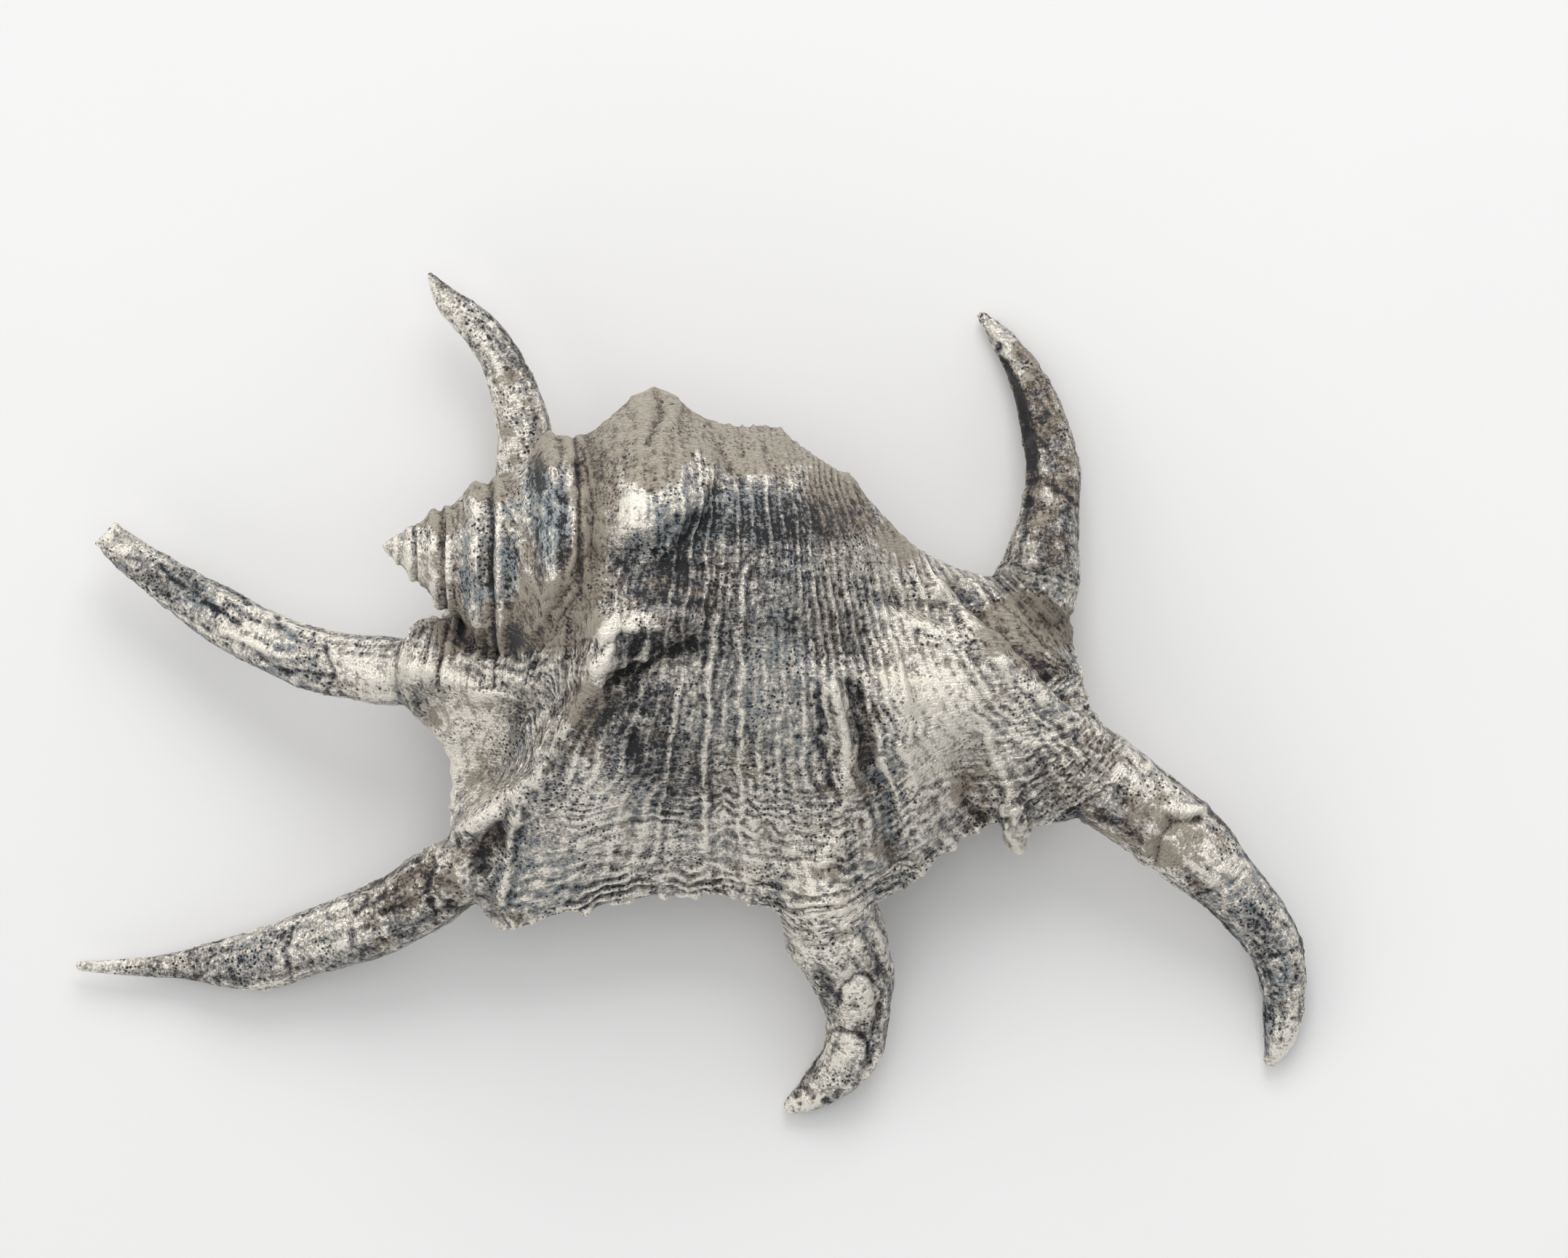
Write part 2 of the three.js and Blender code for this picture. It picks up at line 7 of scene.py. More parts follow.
import bpy
import bmesh
import numpy as np
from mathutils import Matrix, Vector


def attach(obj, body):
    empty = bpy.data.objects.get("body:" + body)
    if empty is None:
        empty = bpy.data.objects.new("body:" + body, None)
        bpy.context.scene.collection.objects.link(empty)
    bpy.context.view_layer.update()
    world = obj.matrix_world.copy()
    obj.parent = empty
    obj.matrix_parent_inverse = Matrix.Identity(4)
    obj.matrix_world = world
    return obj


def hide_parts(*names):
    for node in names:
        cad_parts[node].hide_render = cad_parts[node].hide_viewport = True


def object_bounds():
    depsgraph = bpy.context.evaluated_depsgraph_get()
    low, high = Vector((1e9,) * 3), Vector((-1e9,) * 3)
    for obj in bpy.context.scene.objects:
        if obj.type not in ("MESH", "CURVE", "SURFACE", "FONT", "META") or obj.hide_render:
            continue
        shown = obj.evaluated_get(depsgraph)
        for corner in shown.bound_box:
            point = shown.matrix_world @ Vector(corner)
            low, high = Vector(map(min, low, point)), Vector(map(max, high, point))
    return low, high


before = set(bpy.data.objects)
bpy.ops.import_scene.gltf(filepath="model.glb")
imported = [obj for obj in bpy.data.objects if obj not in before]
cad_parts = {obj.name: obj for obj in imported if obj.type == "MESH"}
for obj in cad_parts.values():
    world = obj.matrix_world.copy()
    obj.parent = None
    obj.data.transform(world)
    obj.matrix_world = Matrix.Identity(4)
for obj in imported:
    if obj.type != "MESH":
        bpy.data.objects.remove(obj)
cad_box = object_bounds()

NODE = "silver_clad_shell"
MM = 0.001

# Mesh
WELD = 1e-4
VOXEL = 0.56
TRIANGLE_LIMIT = 196000
FACET_SMOOTHING = 36
RESMOOTHING = 2
FINE_BLUR = 3
BROAD_BLUR = 40

# Sizes of the carving
CORD_SPACING = 3.1
CORD_WANDER = 0.34
CORD_SHARPNESS = 6
CORD_HEIGHT = 0.62
THREADS_PER_CORD = 2
THREAD_HEIGHT = 0.05
FLANK_THREAD_HEIGHT = 0.08
STEP_LENGTH = 2.2
STEP_RISE = 0.7
STEP_HANG = 0.16
STEP_HEIGHT = 0.65
RIPPLE_HEIGHT = 0.32
SWELL_HEIGHT = 0.4
DIGIT_RING_HEIGHT = 0.1
DIGIT_FOLD_HEIGHT = 0.2
DIGIT_SWELL_HEIGHT = 0.42
DIGIT_STREAK_HEIGHT = 0.12
SUTURE_DEPTH = 0.6
SUTURE_LIP = 0.2
THREADS_PER_WHORL = 9
WHORL_THREAD_HEIGHT = 0.12
WHORL_LINE_HEIGHT = 0.1
WHORL_RIPPLE_HEIGHT = 0.3
RAMP_LINE_HEIGHT = 0.24
RAMP_LINE_SPACING = 1.3
RAMP_LINE_LENGTH = 11
RAMP_LINE_SLANT = 0.35
PIT_DEPTH = 0.3
HOLE_DEPTH = 0.5
CRUST_HEIGHT = 0.17
MARGIN_REACH = 2.6
MARGIN_WAVE = 0.9
MARGIN_WAVE_LENGTH = 4.2
MARGIN_CHIP = 0.6
MARGIN_CHIP_LENGTH = 1.6
TOOTH_REACH = 2.8
TOOTH_SWELL = 1.2
TOOTH_RAGGED = 1.3
FORM_WANDER = 1.1

# The drawing frame of the shell's body, moved to the middle of the box
SHIFT = np.array([0.56, 0.27, 0.0])
APEX = np.array([-60.3, 28.7, 0.0]) + SHIFT
AXIS_TURN = math.radians(-6.56)
AXIS_HEIGHT = [[0, 30.5], [30, 28.4], [60, 28], [80, 26.5], [92, 24], [106, 19], [122, 14]]
WHORL_GROWTH = 1.765
FIRST_SUTURE = 19.6
LAST_SUTURE = 34.6
CLIMBING_SUTURE = [[-90, 30], [0, 29], [40, 31], [65, 34.5], [90, 39.9]]

# One whorl of the spire from suture to suture, as radius over the first suture's place
WHORL_PROFILE = [[1, 0.75], [1.06, 0.8], [1.14, 0.8], [1.2, 0.83], [1.36, 1.02], [1.46, 1.2], [1.54, 1.26],
                 [1.62, 1.245], [1.7, 1.27], [1.765, 1.29]]
NODULES_PER_TURN = 8
NODULE_PLACE = 1.52
NODULE_WIDTH = 0.14
NODULE_HEIGHT = 0.05
WHORL_SHIFT = 1.6

# The six digits from root to tip, with their radii, and how far along it each one leaves the body
DIGITS = [
    {
        "path": [
            [-47, 4, 17], [-40, 20, 11], [-33.5, 35, 10], [-32.5, 47, 12], [-35, 59, 13], [-38.5, 67, 12],
            [-43, 72.5, 11], [-48, 77, 11], [-51.5, 82, 12],
        ],
        "radii": [6, 6.6, 6.4, 5.9, 4.8, 4.1, 3.6, 2.4, 0.7],
        "leaves": 26,
    },
    {
        "path": [
            [-43, 2, 27], [-55, 4, 21.5], [-70, 5.8, 17], [-81, 9.2, 14], [-92, 15, 12], [-102, 21.5, 11],
            [-109.5, 26.5, 11], [-115, 31.5, 11.5],
        ],
        "radii": [3, 6.8, 6.4, 5.8, 5.5, 4.5, 3.7, 2.7],
        "leaves": 12,
    },
    {
        "path": [
            [-31, -25, 27], [-44, -33.5, 19.5], [-55.5, -41.5, 14.5], [-63, -45, 12], [-76, -49.5, 8],
            [-85, -52.5, 6], [-93, -53, 5.5], [-100.5, -53.5, 4.6], [-111, -54, 4.2], [-121, -53.7, 4],
        ],
        "radii": [2.5, 7.4, 7.2, 7.4, 6.4, 6.3, 4.6, 2.6, 1.8, 0.9],
        "leaves": 22,
    },
    {
        "path": [
            [23.5, -26, 30], [24.5, -36, 24], [28, -46.5, 16.5], [31.4, -55.5, 12], [32.4, -62.5, 9.5],
            [32, -69.2, 7], [28.3, -74.8, 5], [23.5, -79, 3.2], [18.5, -81.8, 2.4],
        ],
        "radii": [2.5, 8.6, 9.8, 8.2, 6.5, 6.3, 5, 3.6, 1.4],
        "leaves": 20,
    },
    {
        "path": [
            [61, -2, 26.5], [74, -12.5, 20.5], [90.5, -24.3, 15], [98.7, -31.2, 13], [105, -37.8, 11],
            [110.8, -44.6, 8.5], [115, -51.5, 6.5], [116.5, -58.5, 5], [116.3, -64.5, 4],
            [115.2, -69.5, 3], [113.2, -73, 2.2],
        ],
        "radii": [2.5, 8.8, 8.6, 7.8, 6.2, 5.8, 5.2, 4.7, 4, 3.1, 1.3],
        "leaves": 22,
    },
    {
        "path": [
            [59, 11, 14.5], [67, 20, 13.5], [69, 30, 12], [70, 37, 10.5], [70.2, 43.5, 9], [69.4, 49.5, 7.5],
            [67.8, 56, 6], [65.4, 62, 4.5], [62.4, 67, 3.4], [59.8, 70.6, 2.6], [56.6, 74.6, 2],
        ],
        "radii": [8, 8.8, 6.7, 5.8, 5.5, 5, 4.4, 3.7, 2.9, 2.3, 0.9],
        "leaves": 14,
    },
]

# The outer margin of the flared lip in plan, from the spire round to the canal
MARGIN = [
    [-54, 12], [-59, 3], [-53, -5], [-47, -14], [-46.5, -25], [-48, -32], [-44, -37], [-37, -46], [-24, -43],
    [-10, -40], [5, -39.5], [18, -42], [32, -42], [45, -35], [55.5, -26.5], [67.5, -25.5], [77, -22],
    [78, -5], [75.3, 5.5], [74.6, 13.5],
]

# Its front, from the third digit to the fifth
FRONT_MARGIN = MARGIN[6:17]

# The tooth beside the notch of the lip, from root to tip in plan
TOOTH = [[62.4, -22.5], [62.8, -26], [63.4, -29.5]]

# Places where each spiral cord crosses lines of equal Y: row Y, then the X of every second cord
CORD_ROWS = [
    (58, [-26, -14, -6, 0, 5, 10, 15, 20, 25, 30, 36, 42, 50]),
    (42, [-24, -12, -5, 2, 7, 12, 17, 22, 26, 31, 37, 43, 52]),
    (28, [-22, -11.5, -5, 1.5, 7.5, 13, 18.5, 24, 30, 36, 42, 48, 56]),
    (14, [-20, -13.5, -7, -0.5, 6, 12, 18.5, 25, 32, 39, 47, 56, 66]),
    (0, [-22, -16, -8.5, -1.2, 4.5, 11, 18, 25.5, 34, 42, 52, 64, 74]),
    (-12, [-27, -22, -12.5, -3, 3.5, 10.5, 18, 27, 37, 48, 62, 76, 86]),
    (-24, [-36, -30, -18, -7, 3.2, 10.5, 20, 32, 42, 54, 70, 84, 94]),
    (-42, [-54, -42, -26, -11, 3, 12, 24, 37, 50, 64, 80, 94, 104]),
]

# Spacing of the cords before the first of a row and after its last
SPACING_BEFORE = 3.2
SPACING_AFTER = 4


def look_up(table, places):
    """Straight-line interpolation in a list of [place, value] pairs."""
    table = np.asarray(table, float)
    return np.interp(places, table[:, 0], table[:, 1])


def smooth_step(low, high, values):
    share = np.clip((values - low) / (high - low), 0, 1)
    return share * share * (3 - 2 * share)


def bell(distance, width):
    return np.exp(-((distance / width) ** 2))


# Noise without any table: the same points give the same values on every run. The shifts keep the numbers
# of the cells above nothing and draw each octave from another place.
CELL_SHIFT = 100000
OCTAVE_SHIFT = 17.3


def corner_value(cell, seed):
    x, y, z = (cell[:, i].astype(np.uint64) for i in range(3))
    mix = x * np.uint64(73856093) ^ y * np.uint64(19349663) ^ z * np.uint64(83492791)
    mix ^= np.uint64(seed * 2654435761 % 2**32)
    mix = (mix ^ (mix >> np.uint64(15))) * np.uint64(2246822519) & np.uint64(0xFFFFFFFF)
    mix = (mix ^ (mix >> np.uint64(13))) * np.uint64(3266489917) & np.uint64(0xFFFFFFFF)
    mix ^= mix >> np.uint64(16)
    return mix.astype(float) / 2**32


def value_noise(points, seed):
    """Smooth noise from -1 to 1 with features one unit across."""
    cell = np.floor(points).astype(np.int64)
    part = points - cell
    part = part * part * part * (part * (part * 6 - 15) + 10)
    total = np.zeros(len(points))
    for corner in itertools.product((0, 1), repeat=3):
        weight = np.ones(len(points))
        for axis in range(3):
            weight *= part[:, axis] if corner[axis] else 1 - part[:, axis]
        total += weight * corner_value(cell + np.array(corner) + CELL_SHIFT, seed)
    return total * 2 - 1


def clouds(points, size, seed, octaves=3, fall=0.5):
    """Noise summed over octaves. size is a number or one size for each axis."""
    total = np.zeros(len(points))
    strength = 1.0
    reach = 0.0
    scaled = points / np.asarray(size, float)
    for octave in range(octaves):
        total += strength * value_noise(scaled * 2**octave + OCTAVE_SHIFT * octave, seed + octave)
        reach += strength
        strength *= fall
    return total / reach


def cell_distance(points, size, seed):
    """Distance to the nearest of one seeded point per cell, in cells."""
    scaled = points / np.asarray(size, float)
    cell = np.floor(scaled).astype(np.int64)
    nearest = np.full(len(points), 9.0)
    for offset in itertools.product((-1, 0, 1), repeat=3):
        other = cell + np.array(offset)
        away = np.zeros(len(points))
        for axis in range(3):
            spot = other[:, axis] + corner_value(other + CELL_SHIFT, seed + axis)
            away += (scaled[:, axis] - spot) ** 2
        nearest = np.minimum(nearest, away)
    return np.sqrt(nearest)


def polyline_place(line, points):
    """Distance to a line in as many dimensions as it has, length along it, and in plan 1 on its left."""
    line = np.asarray(line, float)
    size = line.shape[1]
    spot = points[:, :size]
    best = np.full(len(points), 1e9)
    place = np.zeros(len(points))
    side = np.zeros(len(points))
    run = 0.0
    for start, end in zip(line[:-1], line[1:]):
        step = end - start
        length = np.linalg.norm(step)
        share = np.clip((spot - start) @ step / length**2, 0, 1)
        away = np.linalg.norm(spot - start - share[:, None] * step, axis=1)
        turn = step[0] * (spot[:, 1] - start[1]) - step[1] * (spot[:, 0] - start[0])
        closer = away < best
        best[closer] = away[closer]
        place[closer] = run + share[closer] * length
        side[closer] = np.sign(turn[closer])
        run += length
    return best, place, side


class Surface:
    """The shell's mesh as arrays: places in millimetres, edges and normals."""

    def __init__(self, mesh):
        count = len(mesh.vertices)
        self.mesh = mesh
        self.places = np.empty(count * 3)
        mesh.vertices.foreach_get("co", self.places)
        self.places = self.places.reshape(count, 3) / MM
        self.edges = np.empty(len(mesh.edges) * 2, np.int64)
        mesh.edges.foreach_get("vertices", self.edges)
        self.edges = self.edges.reshape(-1, 2)
        self.degree = np.bincount(self.edges.ravel(), minlength=count).astype(float)
        triangles = np.empty(len(mesh.loop_triangles) * 3, np.int64)
        mesh.loop_triangles.foreach_get("vertices", triangles)
        self.triangles = triangles.reshape(-1, 3)

    def neighbour_mean(self, values):
        a, b = self.edges[:, 0], self.edges[:, 1]
        count = len(self.degree)
        columns = values if values.ndim == 2 else values[:, None]
        total = np.empty_like(columns)
        for i in range(columns.shape[1]):
            total[:, i] = np.bincount(a, columns[b, i], count) + np.bincount(b, columns[a, i], count)
        total /= self.degree[:, None]
        return total if values.ndim == 2 else total[:, 0]

    def blur(self, values, times):
        for _ in range(times):
            values = (values + self.neighbour_mean(values)) / 2
        return values

    def smooth(self, times, inwards=0.5, outwards=-0.52):
        """Takes facets away and keeps the volume."""
        for _ in range(times):
            for strength in (inwards, outwards):
                self.places += strength * (self.neighbour_mean(self.places) - self.places)

    def normals(self):
        a, b, c = (self.places[self.triangles[:, i]] for i in range(3))
        face = np.cross(b - a, c - a)
        total = np.zeros_like(self.places)
        for corner in range(3):
            for axis in range(3):
                total[:, axis] += np.bincount(self.triangles[:, corner], face[:, axis], len(total))
        return total / np.maximum(np.linalg.norm(total, axis=1), 1e-9)[:, None]

    def write(self):
        self.mesh.vertices.foreach_set("co", (self.places * MM).ravel())
        self.mesh.update()


def remeshed_shell():
    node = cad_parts[NODE]
    mesh = node.data.copy()
    sheet = bmesh.new()
    sheet.from_mesh(mesh)
    bmesh.ops.remove_doubles(sheet, verts=sheet.verts, dist=WELD * MM)
    sheet.to_mesh(mesh)
    sheet.free()
    piece = bpy.data.objects.new("silver_skin", mesh)
    bpy.context.scene.collection.objects.link(piece)
    remesh = piece.modifiers.new("Even mesh", "REMESH")
    remesh.mode = "VOXEL"
    remesh.voxel_size = VOXEL * MM
    bake_modifiers(piece)
    return piece


def bake_modifiers(piece):
    shown = piece.evaluated_get(bpy.context.evaluated_depsgraph_get())
    mesh = bpy.data.meshes.new_from_object(shown)
    piece.modifiers.clear()
    piece.data = mesh
    mesh.calc_loop_triangles()


def body_place(places):
    """Distance along the axis of the coil, radius, and angle: 0 to the lip, 90 up, 180 to the back."""
    away = places - APEX
    along = away[:, 0] * math.cos(AXIS_TURN) + away[:, 1] * math.sin(AXIS_TURN)
    side = -away[:, 0] * math.sin(AXIS_TURN) + away[:, 1] * math.cos(AXIS_TURN)
    up = places[:, 2] - look_up(AXIS_HEIGHT, along)
    angle = np.degrees(np.arctan2(up, -side))
    return along, np.hypot(side, up), np.where(angle < -90, angle + 360, angle)


def last_suture(angle):
    winding = LAST_SUTURE * WHORL_GROWTH ** ((180 - angle) / 360)
    return np.where(angle >= 90, winding, look_up(CLIMBING_SUTURE, angle))


def whorl_share(along, angle):
    turns = np.log(np.maximum(along, 0.5) / FIRST_SUTURE) / math.log(WHORL_GROWTH) - (180 - angle) / 360
    return turns - np.floor(turns)


def cord_place(places):
    """Which spiral cord a point lies on, counted from the keel."""
    rows = np.array([row for row, _ in CORD_ROWS], float)
    counts = np.arange(len(CORD_ROWS[0][1])) * 2.0
    each = np.stack([np.interp(places[:, 0], xs, counts, left=np.nan, right=np.nan) for _, xs in CORD_ROWS])
    for index, (_, xs) in enumerate(CORD_ROWS):
        low = places[:, 0] < xs[0]
        high = places[:, 0] > xs[-1]
        each[index, low] = (places[low, 0] - xs[0]) / SPACING_BEFORE
        each[index, high] = counts[-1] + (places[high, 0] - xs[-1]) / SPACING_AFTER
    y = np.clip(places[:, 1], rows[-1], rows[0])
    above = np.clip(np.searchsorted(-rows, -y) - 1, 0, len(rows) - 2)
    share = (rows[above] - y) / (rows[above] - rows[above + 1])
    share = share * share * (3 - 2 * share) * 0.4 + share * 0.6
    pick = np.arange(len(places))
    return each[above, pick] * (1 - share) + each[above + 1, pick] * share


def digit_turn(path, lengths, run, places):
    """Angle round a digit's middle line: 0 to its right in plan as it runs, 90 up."""
    def middle(where):
        return np.stack([np.interp(where, lengths, path[:, axis]) for axis in range(3)], axis=1)

    tangent = middle(run + 2) - middle(run - 2)
    tangent /= np.maximum(np.linalg.norm(tangent, axis=1), 1e-6)[:, None]
    sideways = np.cross(tangent, [0, 0, 1])
    sideways /= np.maximum(np.linalg.norm(sideways, axis=1), 1e-6)[:, None]
    upwards = np.cross(sideways, tangent)
    out = places - middle(run)
    return np.degrees(np.arctan2((out * upwards).sum(1), (out * sideways).sum(1)))


class Regions:
    """Where each point of the surface lies on the shell, and the coordinates that its markings follow."""

    def __init__(self, places, normals):
        self.along, self.radius, self.angle = body_place(places)
        self.share = whorl_share(self.along, self.angle)
        self.suture = last_suture(self.angle)
        self.up = smooth_step(-0.05, 0.35, normals[:, 2])
        self.margin_away, self.margin_run, _ = polyline_place(np.array(MARGIN) + SHIFT[:2], places)
        self.cord = cord_place(places)
        self.find_digits(places)
        self.find_body_parts()
        self.set_flow(places)

    def find_digits(self, places):
        """Which digit a point lies on, from 0 to 1, and its length, turn, radius and share along it."""
        count = len(places)
        self.digit = np.zeros(count)
        self.digit_index = np.full(count, -1)
        self.digit_run = np.zeros(count)
        self.digit_turn = np.zeros(count)
        self.digit_radius = np.full(count, 5.0)
        self.digit_share = np.zeros(count)
        for index, digit in enumerate(DIGITS):
            path = np.array(digit["path"], float) + SHIFT
            away, run, _ = polyline_place(path, places)
            lengths = np.concatenate([[0], np.cumsum(np.linalg.norm(np.diff(path, axis=0), axis=1))])
            radius = np.interp(run, lengths, digit["radii"])
            near = 1 - smooth_step(1.35, 1.9, away / (radius + 1.2))
            weight = near * smooth_step(digit["leaves"] - 9, digit["leaves"] + 3, run)
            turn = digit_turn(path, lengths, run, places)
            take = weight > self.digit
            self.digit[take] = weight[take]
            self.digit_index[take] = index
            self.digit_run[take] = run[take]
            self.digit_turn[take] = turn[take] % 360
            self.digit_radius[take] = radius[take]
            self.digit_share[take] = run[take] / lengths[-1]

    def find_body_parts(self):
        on_coil = 1 - smooth_step(1.0, 4.0, self.along - self.suture)
        left_of_lip = (self.angle > 30) | (self.radius < 26)
        self.spire = on_coil * (1 - self.digit) * left_of_lip
        past = smooth_step(0, 3, self.along - self.suture)
        self.web = past * (1 - smooth_step(-1.5, 1.5, self.cord)) * (1 - self.digit)
        self.back = past * smooth_step(-1.5, 1.5, self.cord) * (1 - self.digit)

    def set_flow(self, places):
        """Flow coordinates in millimetres: across the cords, and along them in the way of growth."""
        front_away, _, _ = polyline_place(np.array(FRONT_MARGIN) + SHIFT[:2], places)
        to_margin = 1 - smooth_step(12, 30, front_away)
        by_rows = places[:, 1] - CORD_ROWS[-1][0]
        along_cord = by_rows * (1 - to_margin) + front_away * to_margin
        self.flow = np.stack([self.cord * CORD_SPACING, along_cord], axis=1)
        turn = np.radians(self.angle)
        coil = np.stack([self.share * self.along * 0.55, turn * np.maximum(self.radius, 3)], axis=1)
        self.flow += (coil - self.flow) * self.spire[:, None]
        web = np.stack([self.margin_run, self.margin_away], axis=1)
        self.flow += (web - self.flow) * (self.web * (1 - self.spire))[:, None]
        digit = np.stack([np.radians(self.digit_turn) * self.digit_radius, -self.digit_run], axis=1)
        self.flow += (digit - self.flow) * self.digit[:, None]


def flow_points(regions, across, along):
    """The flow as points for noise, with features across by along millimetres, apart on each digit."""
    flow = regions.flow
    return np.stack([flow[:, 0] / across, flow[:, 1] / along, regions.digit_index * 7.7], axis=1)


def whorl_form(surface, regions):
    """Brings back the steps, nodules and sutures of the spire that smoothing took away."""
    step = WHORL_GROWTH ** regions.share
    wave = np.cos(np.radians(regions.angle * NODULES_PER_TURN))
    nodule = NODULE_HEIGHT * bell(step - NODULE_PLACE, NODULE_WIDTH) * wave
    target = regions.along / step * (look_up(WHORL_PROFILE, step) + nodule)
    shift = np.clip(target - regions.radius, -WHORL_SHIFT, WHORL_SHIFT)
    reach = regions.spire * (1 - smooth_step(WHORL_SHIFT, 2 * WHORL_SHIFT, np.abs(target - regions.radius)))
    before_suture = 1 - smooth_step(-2.5, 0.5, regions.along - regions.suture)
    reach *= smooth_step(1.0, 4.0, regions.along) * before_suture
    side = surface.places - APEX
    side -= np.outer(regions.along, [math.cos(AXIS_TURN), math.sin(AXIS_TURN), 0])
    side[:, 2] = surface.places[:, 2] - look_up(AXIS_HEIGHT, regions.along)
    side /= np.maximum(np.linalg.norm(side, axis=1), 0.3)[:, None]
    surface.places += side * (shift * reach)[:, None]


def spiral_cords(regions, places):
    """Raised cords on the back about 3 mm apart, broken and uneven, with thinner threads between them."""
    cord = regions.cord + CORD_WANDER * value_noise(flow_points(regions, across=9, along=7), seed=11)
    patch = smooth_step(-0.45, 0.5, clouds(places, size=15, seed=14, octaves=2))
    uneven = value_noise(flow_points(regions, across=3.4, along=12), seed=12)
    strength = np.clip(0.5 + 0.9 * uneven, 0.05, 1.3)
    main = np.abs(np.cos(np.pi * cord)) ** CORD_SHARPNESS
    beads = 0.75 + 0.45 * value_noise(flow_points(regions, across=3, along=2), seed=13)
    flank = smooth_step(10, 16, regions.cord)
    cords = CORD_HEIGHT * strength * beads * (main - 0.2)
    threads = (THREAD_HEIGHT + FLANK_THREAD_HEIGHT * flank) * np.cos(2 * np.pi * cord * THREADS_PER_CORD)
    return regions.back * (0.25 + 0.75 * patch) * (cords + threads)


def scaly_steps(regions, seed):
    """Steps that rise slowly and drop sharply, from 0 to 1, in wavy lines that hang between the cords."""
    broad = value_noise(flow_points(regions, across=6, along=8), seed)
    small = value_noise(flow_points(regions, across=2, along=3), seed + 1)
    wave = 1.5 * broad + 0.5 * small
    phase = regions.flow[:, 1] / STEP_LENGTH + wave - STEP_HANG * np.cos(2 * np.pi * regions.cord)
    part = phase - np.floor(phase)
    return np.where(part < STEP_RISE, smooth_step(0, STEP_RISE, part), 1 - smooth_step(STEP_RISE, 1, part))


def growth_wrinkles(regions, places):
    """Scaly wrinkles in the way of growth, strongest along the middle of the margin."""
    near = bell(np.maximum(regions.margin_away - 5, 0), 15)
    middle = 0.35 + 0.65 * bell(np.maximum(np.abs(places[:, 0] - 6) - 18, 0), 14)
    broken = np.clip(0.5 + 1.1 * value_noise(flow_points(regions, across=5, along=4), seed=25), 0, 1.5)
    steps = broken * (scaly_steps(regions, seed=26) - 0.5)
    ripples = value_noise(flow_points(regions, across=3, along=1.1), seed=21)
    swells = clouds(flow_points(regions, across=8, along=3.2), size=1, seed=22, octaves=2)
    lip = regions.back * (0.12 + 0.88 * near * middle)
    web = regions.web * 0.7
    return (lip + web) * (STEP_HEIGHT * steps + RIPPLE_HEIGHT * ripples + SWELL_HEIGHT * swells)


def digit_wrinkles(regions):
    """Rings, folds, swellings and streaks on the digits, fainter where they are slim."""
    rings = value_noise(flow_points(regions, across=6, along=1.5), seed=31)
    folds = 1 - 2 * np.abs(clouds(flow_points(regions, across=4.5, along=8), size=1, seed=32, octaves=3))
    swelling = value_noise(flow_points(regions, across=16, along=9), seed=33)
    streaks = value_noise(flow_points(regions, across=1.5, along=6), seed=34)
    relief = DIGIT_RING_HEIGHT * rings + DIGIT_FOLD_HEIGHT * folds
    relief = relief + DIGIT_SWELL_HEIGHT * swelling + DIGIT_STREAK_HEIGHT * streaks
    slim = 0.25 + 0.75 * smooth_step(0.8, 4, regions.digit_radius)
    return regions.digit * slim * relief


def spire_threads(regions, places):
    """Threads round the whorls, the narrow dark sutures, and growth lines across the ramps."""
    gap = np.minimum(regions.share, 1 - regions.share) * math.log(WHORL_GROWTH) * np.maximum(regions.along, 1)
    groove = -SUTURE_DEPTH * bell(gap, 0.4) + SUTURE_LIP * bell(gap - 1.4, 0.7)
    worn = smooth_step(-0.2, 0.6, clouds(places, size=9, seed=43, octaves=2))
    threads = WHORL_THREAD_HEIGHT * worn * np.cos(2 * np.pi * regions.share * THREADS_PER_WHORL)
    lines = value_noise(flow_points(regions, across=1.1, along=6), seed=41)
    ripples = value_noise(flow_points(regions, across=4, along=2.4), seed=42)
    growth = WHORL_LINE_HEIGHT * lines + WHORL_RIPPLE_HEIGHT * ripples
    size = smooth_step(0.5, 10, regions.along)
    return regions.spire * size * (groove + threads + growth)


def ramp_lines(regions, places):
    """Fine growth lines that slant down the last ramp, left of the keel."""
    across = (places[:, 0] - RAMP_LINE_SLANT * places[:, 1]) / RAMP_LINE_SPACING
    slanted = np.stack([across, places[:, 1] / RAMP_LINE_LENGTH, np.zeros(len(places))], axis=1)
    ramp = smooth_step(0, 2, regions.along - regions.suture) * (1 - smooth_step(-0.5, 1.5, regions.cord))
    above = smooth_step(0, 6, places[:, 1])
    return RAMP_LINE_HEIGHT * ramp * above * (1 - regions.digit) * value_noise(slanted, seed=45)


def pits(places):
    """Small pits, a few larger holes, and a fine crust all over."""
    small = 1 - smooth_step(0.1, 0.34, cell_distance(places, size=2.2, seed=51))
    large = 1 - smooth_step(0.08, 0.2, cell_distance(places, size=6.5, seed=54))
    patchy = smooth_step(-0.3, 0.4, clouds(places, size=14, seed=53, octaves=2))
    crust = CRUST_HEIGHT * clouds(places, size=1.6, seed=52, octaves=2)
    return (-PIT_DEPTH * small - HOLE_DEPTH * large) * patchy + crust


def ragged_margin(regions, places, normals):
    """Moves the thin outer margin in and out."""
    edge = bell(regions.margin_away, MARGIN_REACH) * (1 - regions.digit) * (1 - np.abs(normals[:, 2])) ** 0.5
    level = np.zeros(len(places))
    waves = np.stack([regions.margin_run / MARGIN_WAVE_LENGTH, level, level], axis=1)
    chips = np.stack([regions.margin_run / MARGIN_CHIP_LENGTH, places[:, 2] / 2, level], axis=1)
    return edge * (MARGIN_WAVE * value_noise(waves, seed=61) + MARGIN_CHIP * value_noise(chips, seed=62))


